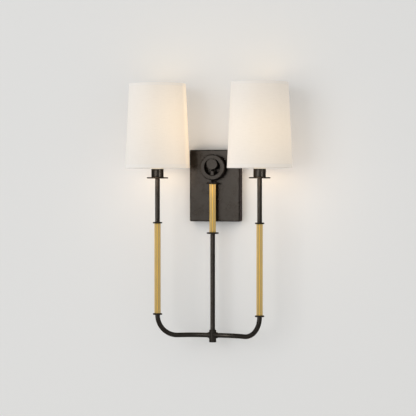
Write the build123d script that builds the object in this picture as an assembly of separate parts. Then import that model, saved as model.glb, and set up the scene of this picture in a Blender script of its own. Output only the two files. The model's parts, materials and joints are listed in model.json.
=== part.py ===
from build123d import *
import math
import os

# Double arm wall sconce.
# Millimetres, +Z up. The wall is the plane y = 0 and the front of the light faces -Y.
# The origin is the centre of the wall side of the back plate.
# Heights run down the stem from the peg, across the hub, and up each arm to its shade.

# ---------------------------------------------------------------- driving dimensions

# Back plate: a folded pan that covers the outlet box.
PLATE_WIDTH = 123.0
PLATE_HEIGHT = 171.0
PLATE_DEPTH = 26.0
PLATE_WALL = 1.6
PLATE_BEVEL = 2.2
PLATE_FRONT_CORNER_RADIUS = 0.6

# Mounting bracket: a strap with its ends folded forward into tabs.
BRACKET_WIDTH = 32.0
BRACKET_THICKNESS = 2.0
BRACKET_BEND_RADIUS = 3.0
BRACKET_TAB_MARGIN = 4.0
BRACKET_CLEARANCE = 0.3
BOX_SCREW_SPACING = 88.9
BOX_SCREW_SLOT_WIDTH = 5.0
BOX_SCREW_SLOT_LENGTH = 17.0
SET_SCREW_DIAMETER = 4.0
SET_SCREW_LENGTH = 8.0
SET_SCREW_RECESS = 0.2
SET_SCREW_ABOVE_BEND = 1.0
SET_SCREW_SOCKET = 2.0
SET_SCREW_SOCKET_DEPTH = 2.6
GROUND_SCREW_DIAMETER = 4.0
GROUND_SCREW_HEAD_DIAMETER = 8.0
GROUND_SCREW_HEAD_HEIGHT = 2.6
GROUND_SCREW_SLOT_WIDTH = 1.0
GROUND_SCREW_SLOT_DEPTH = 1.1
GROUND_SCREW_DROP = 22.0

# Peg and the ring that hangs on it.
PEG_HEIGHT = 51.0
PEG_DIAMETER = 26.4
PEG_PROUD = 3.5
PEG_EDGE_RADIUS = 1.0
PEG_BORE = 11.0
PEG_FACE_WALL = 4.0
PEG_SPIGOT_WALL = 3.0
PEG_SPIGOT_REACH = 8.0
PEG_NUT_WALL = 3.45
PEG_NUT_THICKNESS = 4.0
STEM_TO_PLATE = 2.75
RING_SLACK = 10.8
RING_WIDTH = 12.0
RING_THICKNESS = 12.0
RING_EDGE_RADIUS = 2.4
RING_CRADLE_DEPTH = 2.1
RING_NUT_WALL = 1.95
RING_NUT_GAP = 3.6
NIPPLE_DIAMETER = 8.0
NIPPLE_WALL = 1.5
NIPPLE_ENGAGEMENT = 12.0
NECK_LENGTH = 5.2

# Stem and arms: one size of tube throughout, bored to seat the nipples.
TUBE_WALL = 1.55
COLLAR_THICKNESS = 3.5
COLLAR_EDGE_RADIUS = 1.4
STEM_COLLAR_LIP = 6.6
STEM_SLEEVE_WALL = 1.2
STEM_SLEEVE_LENGTH = 115.0
STEM_LOWER_LENGTH = 227.6
ARM_COLLAR_LIP = 3.7
ARM_SLEEVE_WALL = 0.95
ARM_SLEEVE_LENGTH = 213.0
ARM_UPPER_LENGTH = 102.6
ARM_OUTSIDE_PLATE = 62.5
ARM_LEAD = 8.0
ARM_BEND_RADIUS = 49.0
COLLAR_ABOVE_BEND = 0.3
REED_COUNT = 18
REED_DEPTH = 0.8
REED_OVERLAP = 0.02

# Hub: the cast cross that joins the stem to both arms.
HUB_WALL = 2.65
HUB_BELOW_ARMS = 7.8
HUB_EDGE_RADIUS = 2.4
HUB_FILLET_RADIUS = 2.8
HUB_BOSS_WALL = 1.1
HUB_SOCKET_DEPTH = 7.0
HUB_ARM_SEAT = 5.0
HUB_WEB = 0.6
HUB_WIREWAY_STEP = 1.35
HUB_CAP_LIP = 0.3
HUB_CAP_THICKNESS = 3.2
HUB_CAP_EDGE_RADIUS = 1.0
HUB_CAP_SPIGOT_LENGTH = 5.0

# Socket stack at the top of each arm.
BOBECHE_DIAMETER = 50.4
BOBECHE_THICKNESS = 3.2
BOBECHE_EDGE_RADIUS = 1.2
CUP_DIAMETER = 29.0
CUP_HEIGHT = 19.7
CUP_WALL = 1.5
CUP_FLOOR = 2.0
SOCKET_NIPPLE_STANDUP = 8.0
SOCKET_NUT_WALL = 2.45
SOCKET_NUT_THICKNESS = 3.0
SOCKET_CUP_CLEARANCE = 0.7
SOCKET_EDGE = 1.0
SOCKET_SHOULDER_WIDTH = 3.0
SOCKET_SHOULDER_THICKNESS = 2.4
SOCKET_SHOULDER_SLOPE = 2.0
SOCKET_THREAD_DIAMETER = 28.0
SOCKET_THREAD_LENGTH = 23.0
SOCKET_WELL_DEPTH = 18.0
SOCKET_SHELL_WALL = 0.5
SOCKET_SHELL_CLEARANCE = 0.15
SOCKET_SHELL_LENGTH = 13.0
CONTACT_DIAMETER = 5.0
CONTACT_THICKNESS = 1.0
SHADE_NUT_WIDTH = 4.4
SHADE_NUT_THICKNESS = 6.0
SHADE_NUT_NOTCHES = 24
SHADE_NUT_NOTCH_RADIUS = 0.9
SHADE_NUT_NOTCH_DEPTH = 0.6

# Bulb: candelabra base, torpedo glass.
BULB_BASE_DIAMETER = 11.9
BULB_BASE_LENGTH = 17.0
BULB_BASE_BEVEL = 1.5
BULB_SKIRT_STEP = 0.55
BULB_SKIRT_HEIGHT = 2.0
BULB_TIP_DIAMETER = 4.0
BULB_TIP_HEIGHT = 1.5
BULB_GLASS_DIAMETER = 35.0
BULB_GLASS_LENGTH = 79.0
BULB_GLASS_BELLY_SHARE = 0.355
BULB_GLASS_TIP_RADIUS = 3.0
BULB_GLASS_WALL = 0.9

# Shade, its wire rings and the spider that seats it on the socket.
SHADE_BOTTOM_DIAMETER = 152.4
SHADE_TOP_DIAMETER = 134.0
SHADE_HEIGHT = 199.0
SHADE_WALL = 1.2
SHADE_HEM_THICKNESS = 0.5
SHADE_HEM_HEIGHT = 9.0
SHADE_LIFT = 1.7
SHADE_TO_WALL = 8.8
SHADE_WIRE = 2.6
SHADE_WIRE_CLEARANCE = 0.1
SPIDER_RISE = 14.0
SPIDER_RING_WIDTH = 4.7
SPIDER_RING_THICKNESS = 1.6
SPIDER_SPOKE_DIAMETER = 2.0
SPIDER_SPOKES = 3

# Clearances.
FIT = 0.05
TURNING_GAP = 0.3
SCREW_HOLE_CLEARANCE = 0.2

# ---------------------------------------------------------------- derived places

# Sizes that follow what they seat on.
NIPPLE_BORE = NIPPLE_DIAMETER - 2 * NIPPLE_WALL
NIPPLE_SEAT = NIPPLE_DIAMETER + 2 * FIT
TUBE_DIAMETER = NIPPLE_SEAT + 2 * TUBE_WALL
TUBE_SEAT = TUBE_DIAMETER + 2 * FIT
STEM_SLEEVE_DIAMETER = TUBE_SEAT + 2 * (STEM_SLEEVE_WALL + REED_DEPTH)
STEM_COLLAR_DIAMETER = STEM_SLEEVE_DIAMETER + 2 * STEM_COLLAR_LIP
ARM_SLEEVE_DIAMETER = TUBE_SEAT + 2 * (ARM_SLEEVE_WALL + REED_DEPTH)
ARM_COLLAR_DIAMETER = ARM_SLEEVE_DIAMETER + 2 * ARM_COLLAR_LIP
HUB_DIAMETER = TUBE_SEAT + 2 * HUB_WALL
HUB_BOSS_DIAMETER = TUBE_SEAT + 2 * HUB_BOSS_WALL
HUB_WIREWAY = TUBE_SEAT - 2 * HUB_WIREWAY_STEP
HUB_CAP_DIAMETER = HUB_DIAMETER + 2 * HUB_CAP_LIP
BOSS_REACH = HUB_ARM_SEAT + HUB_SOCKET_DEPTH
SET_SCREW_SETBACK = BRACKET_THICKNESS + BRACKET_BEND_RADIUS + SET_SCREW_ABOVE_BEND + SET_SCREW_DIAMETER / 2
BRACKET_TAB_DEPTH = SET_SCREW_SETBACK + SET_SCREW_DIAMETER / 2 + BRACKET_TAB_MARGIN
PEG_SPIGOT_DIAMETER = PEG_BORE + 2 * PEG_SPIGOT_WALL
PEG_NUT_ACROSS_FLATS = PEG_SPIGOT_DIAMETER + 2 * (FIT + PEG_NUT_WALL)
RING_INNER_DIAMETER = PEG_DIAMETER + RING_SLACK
RING_OUTER_DIAMETER = RING_INNER_DIAMETER + 2 * RING_WIDTH
RING_NUT_ACROSS_FLATS = NIPPLE_SEAT + 2 * RING_NUT_WALL
SOCKET_NUT_ACROSS_FLATS = NIPPLE_SEAT + 2 * SOCKET_NUT_WALL
SOCKET_BODY_DIAMETER = CUP_DIAMETER - 2 * (CUP_WALL + SOCKET_CUP_CLEARANCE)
SOCKET_SHOULDER_DIAMETER = SOCKET_THREAD_DIAMETER + 2 * SOCKET_SHOULDER_WIDTH
BULB_SKIRT_DIAMETER = BULB_BASE_DIAMETER + 2 * BULB_SKIRT_STEP
SHELL_BORE = BULB_SKIRT_DIAMETER + 2 * SOCKET_SHELL_CLEARANCE
SHELL_DIAMETER = SHELL_BORE + 2 * SOCKET_SHELL_WALL
WELL_DIAMETER = SHELL_DIAMETER + 2 * FIT
SHADE_NUT_BORE = SOCKET_THREAD_DIAMETER + 2 * FIT
SHADE_NUT_DIAMETER = SHADE_NUT_BORE + 2 * SHADE_NUT_WIDTH
SPIDER_BORE = SOCKET_THREAD_DIAMETER + 2 * TURNING_GAP
SPIDER_RING_DIAMETER = SPIDER_BORE + 2 * SPIDER_RING_WIDTH

# The stem clears the plate, and the arms come forward until the shades clear the wall.
STEM_Y = -(PLATE_DEPTH + STEM_TO_PLATE + STEM_COLLAR_DIAMETER / 2)
ARM_Y = -(SHADE_BOTTOM_DIAMETER / 2 + SHADE_TO_WALL)
ARM_FORWARD = STEM_Y - ARM_Y
ARM_SPREAD = PLATE_WIDTH / 2 + ARM_OUTSIDE_PLATE
ARM_STRAIGHT = BOSS_REACH + ARM_LEAD

# Heights, down the stem and up the arms.
PEG_RADIUS = PEG_DIAMETER / 2
RING_OUTER = RING_OUTER_DIAMETER / 2
RING_INNER = RING_INNER_DIAMETER / 2
PEG_FRONT_Y = STEM_Y - RING_THICKNESS / 2 - PEG_PROUD
RING_Z = PEG_HEIGHT + PEG_RADIUS - RING_CRADLE_DEPTH - RING_INNER
RING_WINDOW_Z = RING_Z - RING_INNER
RING_BOTTOM_Z = RING_Z - RING_OUTER
RING_NUT_HEIGHT = PEG_HEIGHT - PEG_RADIUS - RING_NUT_GAP - RING_WINDOW_Z

STEM_COLLAR_TOP_Z = RING_BOTTOM_Z - NECK_LENGTH
STEM_SLEEVE_TOP_Z = STEM_COLLAR_TOP_Z - COLLAR_THICKNESS
STEM_SLEEVE_BOTTOM_Z = STEM_SLEEVE_TOP_Z - STEM_SLEEVE_LENGTH
STEM_LOWER_TOP_Z = STEM_SLEEVE_BOTTOM_Z - COLLAR_THICKNESS
HUB_TOP_Z = STEM_LOWER_TOP_Z - STEM_LOWER_LENGTH
STEM_SEAT_Z = HUB_TOP_Z - HUB_SOCKET_DEPTH
ARM_LEVEL_Z = STEM_SEAT_Z - HUB_WEB - TUBE_DIAMETER / 2
HUB_BOTTOM_Z = ARM_LEVEL_Z - TUBE_DIAMETER / 2 - HUB_BELOW_ARMS

ARM_COLLAR_Z = ARM_LEVEL_Z + ARM_BEND_RADIUS + COLLAR_ABOVE_BEND
ARM_SLEEVE_Z = ARM_COLLAR_Z + COLLAR_THICKNESS
ARM_UPPER_COLLAR_Z = ARM_SLEEVE_Z + ARM_SLEEVE_LENGTH
BOBECHE_Z = ARM_UPPER_COLLAR_Z + COLLAR_THICKNESS + ARM_UPPER_LENGTH
CUP_Z = BOBECHE_Z + BOBECHE_THICKNESS
CUP_FLOOR_Z = CUP_Z + CUP_FLOOR
CUP_TOP_Z = CUP_Z + CUP_HEIGHT
SOCKET_Z = CUP_FLOOR_Z + SOCKET_NUT_THICKNESS + TURNING_GAP
SHADE_Z = CUP_TOP_Z + SHADE_LIFT
SHADE_TOP_Z = SHADE_Z + SHADE_HEIGHT
SPIDER_Z = SHADE_Z + SPIDER_RISE
SHOULDER_TOP_Z = SPIDER_Z - TURNING_GAP
SHADE_NUT_Z = SPIDER_Z + SPIDER_RING_THICKNESS + TURNING_GAP
SOCKET_TOP_Z = SHOULDER_TOP_Z + SOCKET_THREAD_LENGTH
WELL_FLOOR_Z = SOCKET_TOP_Z - SOCKET_WELL_DEPTH
BULB_TIP_Z = WELL_FLOOR_Z + CONTACT_THICKNESS + FIT
BULB_BASE_Z = BULB_TIP_Z + BULB_TIP_HEIGHT
BULB_GLASS_Z = BULB_BASE_Z + BULB_BASE_LENGTH

# The level part of an arm runs straight out of the hub, then bows forward on a circle in plan,
# and leaves that circle at ARM_SWEEP, the heading of the vertical bend.
ARM_SWEEP = 2 * math.atan2(ARM_FORWARD, ARM_SPREAD - ARM_STRAIGHT + ARM_BEND_RADIUS)
ARM_BOW_RADIUS = (ARM_SPREAD - ARM_STRAIGHT - ARM_BEND_RADIUS * math.cos(ARM_SWEEP)) / math.sin(ARM_SWEEP)


# ---------------------------------------------------------------- helpers


def disc(diameter, thickness, bore, z, x=0.0, y=0.0, edge=0.0):
    """A flat round collar with a bore and rounded rims, standing on height z."""
    solid = Cylinder(diameter / 2, thickness, align=(Align.CENTER, Align.CENTER, Align.MIN))
    if edge:
        solid = fillet(solid.edges().filter_by(GeomType.CIRCLE), min(edge, thickness * 0.45))
    solid -= Cylinder(bore / 2, 3 * thickness)
    return Pos(x, y, z) * solid


def tube(outer, inner, length, z, x=0.0, y=0.0):
    """A plain round tube standing on height z."""
    wall = Circle(outer / 2) - Circle(inner / 2)
    return Pos(x, y, z) * extrude(wall, length)


def hex_nut(across_flats, bore, thickness, edge=0.5):
    """A hexagon nut with its lower face on the XY plane and its rims chamfered by turning."""
    flats = extrude(RegularPolygon(across_flats / 2, 6, major_radius=False), thickness)
    corner = across_flats / math.sqrt(3)
    turned = Cylinder(corner, thickness, align=(Align.CENTER, Align.CENTER, Align.MIN))
    turned = chamfer(turned.edges().filter_by(GeomType.CIRCLE), min(edge, thickness / 4))
    return (flats & turned) - Cylinder(bore / 2, 3 * thickness)


def turned_profile(points):
    """A solid of revolution about Z from (radius, height) points, closed along its own outline."""
    outline = Polyline(*[(r, 0, h) for r, h in points], close=True)
    return revolve(make_face(outline), Axis.Z)


def reeded_sleeve(diameter, bore, length):
    """A tube whose outside is a row of half-round reeds side by side."""
    pitch_radius = diameter / 2 - REED_DEPTH
    reed_radius = pitch_radius * math.sin(math.pi / REED_COUNT) * (1 + REED_OVERLAP)
    centre_radius = diameter / 2 - reed_radius
    profile = Circle(pitch_radius)
    for index in range(REED_COUNT):
        angle = 2 * math.pi * index / REED_COUNT
        profile += Pos(centre_radius * math.cos(angle), centre_radius * math.sin(angle)) * Circle(reed_radius)
    return extrude(profile - Circle(bore / 2), length)


# ---------------------------------------------------------------- wall side


def make_backplate():
    """The pan: four folded sides, a bevelled front and no back."""
    pan = Box(PLATE_WIDTH, PLATE_DEPTH, PLATE_HEIGHT, align=(Align.CENTER, Align.MAX, Align.CENTER))
    pan = fillet(pan.edges().filter_by(Axis.Y), PLATE_BEVEL + PLATE_FRONT_CORNER_RADIUS)
    pan = chamfer(pan.faces().sort_by(Axis.Y)[0].edges(), PLATE_BEVEL)
    inner_bevel = PLATE_BEVEL - PLATE_WALL * (2 - math.sqrt(2))
    hollow = Box(
        PLATE_WIDTH - 2 * PLATE_WALL,
        PLATE_DEPTH - PLATE_WALL,
        PLATE_HEIGHT - 2 * PLATE_WALL,
        align=(Align.CENTER, Align.MAX, Align.CENTER),
    )
    if inner_bevel > 0:
        hollow = chamfer(hollow.faces().sort_by(Axis.Y)[0].edges(), inner_bevel)
    pan -= hollow
    spigot_hole = Cylinder(PEG_SPIGOT_DIAMETER / 2 + FIT, 4 * PLATE_WALL, rotation=(90, 0, 0))
    pan -= Pos(0, -PLATE_DEPTH, PEG_HEIGHT) * spigot_hole
    screw_hole = Cylinder(SET_SCREW_DIAMETER / 2 + SCREW_HOLE_CLEARANCE, 4 * PLATE_WALL)
    for end in (-1, 1):
        pan -= Pos(0, -SET_SCREW_SETBACK, end * PLATE_HEIGHT / 2) * screw_hole
    return pan


def make_mounting_bracket():
    """A flat strap on the wall with both ends folded forward inside the pan."""
    half = PLATE_HEIGHT / 2 - PLATE_WALL - BRACKET_CLEARANCE
    outside = Rectangle(2 * half, BRACKET_TAB_DEPTH, align=(Align.CENTER, Align.MAX))
    outside = fillet(outside.vertices().sort_by(Axis.Y)[-2:], BRACKET_BEND_RADIUS + BRACKET_THICKNESS)
    inside = Pos(0, -BRACKET_THICKNESS) * Rectangle(
        2 * (half - BRACKET_THICKNESS), 2 * BRACKET_TAB_DEPTH, align=(Align.CENTER, Align.MAX)
    )
    inside = fillet(inside.vertices().sort_by(Axis.Y)[-2:], BRACKET_BEND_RADIUS)
    side_plane = Plane(origin=(0, 0, 0), x_dir=(0, 0, 1), z_dir=(-1, 0, 0))
    strap = extrude(side_plane * (outside - inside), BRACKET_WIDTH / 2, both=True)
    slot = SlotOverall(BOX_SCREW_SLOT_LENGTH, BOX_SCREW_SLOT_WIDTH, rotation=90)
    slot_cut = extrude(Plane.XZ * slot, 2 * BRACKET_THICKNESS, both=True)
    for end in (-1, 1):
        strap -= Pos(0, 0, end * BOX_SCREW_SPACING / 2) * slot_cut
        tap = Cylinder(SET_SCREW_DIAMETER / 2 + FIT, 4 * BRACKET_THICKNESS)
        strap -= Pos(0, -SET_SCREW_SETBACK, end * (half - BRACKET_THICKNESS / 2)) * tap
    ground_tap = Cylinder(GROUND_SCREW_DIAMETER / 2 + FIT, 4 * BRACKET_THICKNESS, rotation=(90, 0, 0))
    return strap - Pos(0, 0, -GROUND_SCREW_DROP) * ground_tap


def make_canopy_set_screws():
    """Two socket screws, flush in the top and bottom edges of the pan."""
    screws = []
    for end in (-1, 1):
        shank = Cylinder(SET_SCREW_DIAMETER / 2, SET_SCREW_LENGTH, align=(Align.CENTER, Align.CENTER, Align.MAX))
        socket = extrude(RegularPolygon(SET_SCREW_SOCKET / 2, 6, major_radius=False), -SET_SCREW_SOCKET_DEPTH)
        screw = shank - socket
        if end < 0:
            screw = screw.mirror(Plane.XY)
        height = end * (PLATE_HEIGHT / 2 - SET_SCREW_RECESS)
        screws.append(Pos(0, -SET_SCREW_SETBACK, height) * screw)
    return Compound(children=screws)


def make_ground_screw():
    """A slotted hexagon-head screw in the strap, for the earth wire."""
    head = extrude(RegularPolygon(GROUND_SCREW_HEAD_DIAMETER / 2, 6), GROUND_SCREW_HEAD_HEIGHT)
    shank = Cylinder(
        GROUND_SCREW_DIAMETER / 2, BRACKET_THICKNESS - FIT, align=(Align.CENTER, Align.CENTER, Align.MAX)
    )
    drive = Pos(0, 0, GROUND_SCREW_HEAD_HEIGHT) * Box(
        2 * GROUND_SCREW_HEAD_DIAMETER, GROUND_SCREW_SLOT_WIDTH, 2 * GROUND_SCREW_SLOT_DEPTH
    )
    screw = (head + shank) - drive
    return Pos(0, -BRACKET_THICKNESS, -GROUND_SCREW_DROP) * Rot(90, 0, 0) * screw


# ---------------------------------------------------------------- peg and ring


def make_peg():
    """A hollow post with a closed face, a spigot through the pan and a wire hole underneath."""
    reach = -PEG_FRONT_Y - PLATE_DEPTH
    post = Cylinder(PEG_RADIUS, reach, align=(Align.CENTER, Align.CENTER, Align.MIN))
    post = fillet(post.edges().filter_by(GeomType.CIRCLE).sort_by(Axis.Z)[-1], PEG_EDGE_RADIUS)
    spigot = Cylinder(PEG_SPIGOT_DIAMETER / 2, PEG_SPIGOT_REACH, align=(Align.CENTER, Align.CENTER, Align.MAX))
    bore = Pos(0, 0, -PEG_SPIGOT_REACH) * Cylinder(
        PEG_BORE / 2, PEG_SPIGOT_REACH + reach - PEG_FACE_WALL, align=(Align.CENTER, Align.CENTER, Align.MIN)
    )
    peg = Pos(0, -PLATE_DEPTH, PEG_HEIGHT) * Rot(90, 0, 0) * (post + spigot - bore)
    wire_hole = Cylinder(NIPPLE_SEAT / 2, PEG_RADIUS, align=(Align.CENTER, Align.CENTER, Align.MAX))
    return peg - Pos(0, STEM_Y, PEG_HEIGHT) * wire_hole


def make_peg_lock_nut():
    """The nut that pulls the peg against the pan from inside."""
    nut = hex_nut(PEG_NUT_ACROSS_FLATS, PEG_SPIGOT_DIAMETER + 2 * FIT, PEG_NUT_THICKNESS)
    return Pos(0, -PLATE_DEPTH + PLATE_WALL, PEG_HEIGHT) * Rot(-90, 0, 0) * nut


def make_hanging_ring():
    """A ring with rounded edges, cradled on the peg, spot-faced and bored for the stem below."""
    section = Pos((RING_OUTER + RING_INNER) / 2, 0) * RectangleRounded(
        RING_WIDTH, RING_THICKNESS, min(RING_EDGE_RADIUS, RING_THICKNESS * 0.45, RING_WIDTH * 0.45)
    )
    ring = revolve(section, Axis.Y)
    ring = Pos(0, STEM_Y, RING_Z) * ring
    cradle = Cylinder(PEG_RADIUS + FIT, 2 * RING_THICKNESS, rotation=(90, 0, 0))
    ring -= Pos(0, STEM_Y, PEG_HEIGHT) * cradle
    corner = RING_NUT_ACROSS_FLATS / math.sqrt(3) + 4 * FIT
    spot_face = Cylinder(corner, RING_INNER, align=(Align.CENTER, Align.CENTER, Align.MIN))
    ring -= Pos(0, STEM_Y, RING_WINDOW_Z) * spot_face
    stem_hole = Cylinder(NIPPLE_SEAT / 2, RING_OUTER, align=(Align.CENTER, Align.CENTER, Align.MAX))
    return ring - Pos(0, STEM_Y, RING_Z) * stem_hole


def make_ring_nut():
    """The nut inside the ring that clamps the ring to the stem."""
    nut = hex_nut(RING_NUT_ACROSS_FLATS, NIPPLE_SEAT, RING_NUT_HEIGHT)
    return Pos(0, STEM_Y, RING_WINDOW_Z) * nut


def make_stem_nipple():
    """The hollow threaded rod that carries the wires from the stem through the ring into the peg."""
    bottom = STEM_SLEEVE_TOP_Z - NIPPLE_ENGAGEMENT
    top = PEG_HEIGHT - PEG_BORE / 2
    return tube(NIPPLE_DIAMETER, NIPPLE_BORE, top - bottom, bottom, y=STEM_Y)


# ---------------------------------------------------------------- stem and hub


def make_stem_parts():
    """The stem tube, its reeded sleeve and the two collars that hold the sleeve."""
    parts = {}
    parts["stem_tube"] = tube(
        TUBE_DIAMETER, NIPPLE_SEAT, STEM_SLEEVE_TOP_Z - STEM_SEAT_Z, STEM_SEAT_Z, y=STEM_Y
    )
    sleeve = reeded_sleeve(STEM_SLEEVE_DIAMETER, TUBE_SEAT, STEM_SLEEVE_LENGTH)
    parts["stem_sleeve"] = Pos(0, STEM_Y, STEM_SLEEVE_BOTTOM_Z) * sleeve
    parts["stem_upper_collar"] = disc(
        STEM_COLLAR_DIAMETER,
        COLLAR_THICKNESS,
        NIPPLE_SEAT,
        STEM_SLEEVE_TOP_Z,
        y=STEM_Y,
        edge=COLLAR_EDGE_RADIUS,
    )
    parts["stem_lower_collar"] = disc(
        STEM_COLLAR_DIAMETER,
        COLLAR_THICKNESS,
        TUBE_SEAT,
        STEM_LOWER_TOP_Z,
        y=STEM_Y,
        edge=COLLAR_EDGE_RADIUS,
    )
    return parts


def make_hub():
    """A cast cross: an upright body filleted to a boss on each side, bored for three tubes."""
    height = HUB_TOP_Z - HUB_BOTTOM_Z
    body = Cylinder(HUB_DIAMETER / 2, height, align=(Align.CENTER, Align.CENTER, Align.MIN))
    body = fillet(body.edges().filter_by(GeomType.CIRCLE).sort_by(Axis.Z)[-1], HUB_EDGE_RADIUS)
    bosses = Pos(0, 0, ARM_LEVEL_Z) * Cylinder(HUB_BOSS_DIAMETER / 2, 2 * BOSS_REACH, rotation=(0, 90, 0))
    hub = Pos(0, 0, HUB_BOTTOM_Z) * body + bosses
    saddles = [edge for edge in hub.edges() if edge.geom_type == GeomType.BSPLINE]
    hub = fillet(saddles, HUB_FILLET_RADIUS)
    seat = TUBE_SEAT / 2
    hub -= Pos(0, 0, HUB_TOP_Z) * Cylinder(
        seat, HUB_SOCKET_DEPTH, align=(Align.CENTER, Align.CENTER, Align.MAX)
    )
    for side in (-1, 1):
        arm_bore = Cylinder(seat, HUB_SOCKET_DEPTH, align=(Align.CENTER, Align.CENTER, Align.MAX))
        hub -= Pos(side * BOSS_REACH, 0, ARM_LEVEL_Z) * Rot(0, side * 90, 0) * arm_bore
    wireway = Pos(0, 0, HUB_BOTTOM_Z) * Cylinder(
        HUB_WIREWAY / 2, STEM_SEAT_Z - HUB_BOTTOM_Z + FIT, align=(Align.CENTER, Align.CENTER, Align.MIN)
    )
    cross_way = Pos(0, 0, ARM_LEVEL_Z) * Cylinder(HUB_WIREWAY / 2, 2 * BOSS_REACH, rotation=(0, 90, 0))
    return Pos(0, STEM_Y, 0) * (hub - wireway - cross_way)


def make_hub_cap():
    """The turned plug that closes the wireway under the hub."""
    rim = Cylinder(HUB_CAP_DIAMETER / 2, HUB_CAP_THICKNESS, align=(Align.CENTER, Align.CENTER, Align.MAX))
    rim = fillet(rim.edges().filter_by(GeomType.CIRCLE), min(HUB_CAP_EDGE_RADIUS, HUB_CAP_THICKNESS * 0.45))
    spigot = Cylinder(
        HUB_WIREWAY / 2 - FIT, HUB_CAP_SPIGOT_LENGTH, align=(Align.CENTER, Align.CENTER, Align.MIN)
    )
    return Pos(0, STEM_Y, HUB_BOTTOM_Z) * (rim + spigot)


# ---------------------------------------------------------------- arms


def make_arm_tube():
    """The right arm: out of the hub, bowed forward in plan, bent up and run to the bobeche."""
    start = Vector(HUB_ARM_SEAT, STEM_Y, ARM_LEVEL_Z)
    leave = Vector(ARM_STRAIGHT, STEM_Y, ARM_LEVEL_Z)

    def bow(angle):
        along = ARM_BOW_RADIUS * math.sin(angle)
        forward = ARM_BOW_RADIUS * (1 - math.cos(angle))
        return leave + Vector(along, -forward, 0)

    heading = Vector(math.cos(ARM_SWEEP), -math.sin(ARM_SWEEP), 0)
    turn = bow(ARM_SWEEP)

    def bend(angle):
        out = heading * (ARM_BEND_RADIUS * math.sin(angle))
        return turn + out + Vector(0, 0, ARM_BEND_RADIUS * (1 - math.cos(angle)))

    top = Vector(ARM_SPREAD, ARM_Y, BOBECHE_Z)
    route = Wire(
        [
            Edge.make_line(start, leave),
            Edge.make_three_point_arc(leave, bow(ARM_SWEEP / 2), turn),
            Edge.make_three_point_arc(turn, bend(math.pi / 4), bend(math.pi / 2)),
            Edge.make_line(bend(math.pi / 2), top),
        ]
    )
    start_plane = Plane(origin=start, z_dir=(1, 0, 0))
    outside = sweep(start_plane * Circle(TUBE_DIAMETER / 2), path=route)
    inside = sweep(start_plane * Circle(NIPPLE_SEAT / 2), path=route)
    return outside - inside


def make_arm_parts():
    """The right arm with its sleeve and collars."""
    sleeve = reeded_sleeve(ARM_SLEEVE_DIAMETER, TUBE_SEAT, ARM_SLEEVE_LENGTH)
    parts = {"arm_tube": make_arm_tube()}
    parts["arm_sleeve"] = Pos(ARM_SPREAD, ARM_Y, ARM_SLEEVE_Z) * sleeve
    for name, height in (("arm_lower_collar", ARM_COLLAR_Z), ("arm_upper_collar", ARM_UPPER_COLLAR_Z)):
        parts[name] = disc(
            ARM_COLLAR_DIAMETER,
            COLLAR_THICKNESS,
            TUBE_SEAT,
            height,
            ARM_SPREAD,
            ARM_Y,
            COLLAR_EDGE_RADIUS,
        )
    return parts


# ---------------------------------------------------------------- socket stack


def make_socket_cup():
    """The straight-sided cup that hides the foot of the socket."""
    cup = Cylinder(CUP_DIAMETER / 2, CUP_HEIGHT, align=(Align.CENTER, Align.CENTER, Align.MIN))
    hollow = Pos(0, 0, CUP_FLOOR) * Cylinder(
        CUP_DIAMETER / 2 - CUP_WALL, CUP_HEIGHT, align=(Align.CENTER, Align.CENTER, Align.MIN)
    )
    return cup - hollow - Cylinder(NIPPLE_SEAT / 2, 3 * CUP_FLOOR)


def make_socket():
    """A moulded lampholder: foot, shoulder and outer thread, with a well for the bulb base."""
    shoulder_z = SHOULDER_TOP_Z - SOCKET_Z - SOCKET_SHOULDER_THICKNESS
    top_z = SOCKET_TOP_Z - SOCKET_Z
    foot = SOCKET_BODY_DIAMETER / 2
    shoulder = SOCKET_SHOULDER_DIAMETER / 2
    thread = SOCKET_THREAD_DIAMETER / 2
    body = turned_profile(
        [
            (0, 0),
            (foot - SOCKET_EDGE, 0),
            (foot, SOCKET_EDGE),
            (foot, shoulder_z - SOCKET_SHOULDER_SLOPE),
            (shoulder, shoulder_z),
            (shoulder, shoulder_z + SOCKET_SHOULDER_THICKNESS),
            (thread, shoulder_z + SOCKET_SHOULDER_THICKNESS),
            (thread, top_z - SOCKET_EDGE),
            (thread - SOCKET_EDGE, top_z),
            (0, top_z),
        ]
    )
    well = Pos(0, 0, top_z) * Cylinder(
        WELL_DIAMETER / 2, SOCKET_WELL_DEPTH, align=(Align.CENTER, Align.CENTER, Align.MAX)
    )
    nipple_top = CUP_FLOOR_Z + SOCKET_NIPPLE_STANDUP - SOCKET_Z
    nipple_hole = Cylinder(NIPPLE_SEAT / 2, nipple_top + FIT, align=(Align.CENTER, Align.CENTER, Align.MIN))
    return body - well - nipple_hole


def make_shade_nut():
    """The ring nut that holds the spider down, with gripping notches round its rim."""
    nut = tube(SHADE_NUT_DIAMETER, SHADE_NUT_BORE, SHADE_NUT_THICKNESS, 0)
    for index in range(SHADE_NUT_NOTCHES):
        angle = 360 * index / SHADE_NUT_NOTCHES
        notch_centre = SHADE_NUT_DIAMETER / 2 + SHADE_NUT_NOTCH_RADIUS - SHADE_NUT_NOTCH_DEPTH
        notch = Pos(notch_centre, 0) * Cylinder(SHADE_NUT_NOTCH_RADIUS, 3 * SHADE_NUT_THICKNESS)
        nut -= Rot(0, 0, angle) * notch
    return nut


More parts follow.
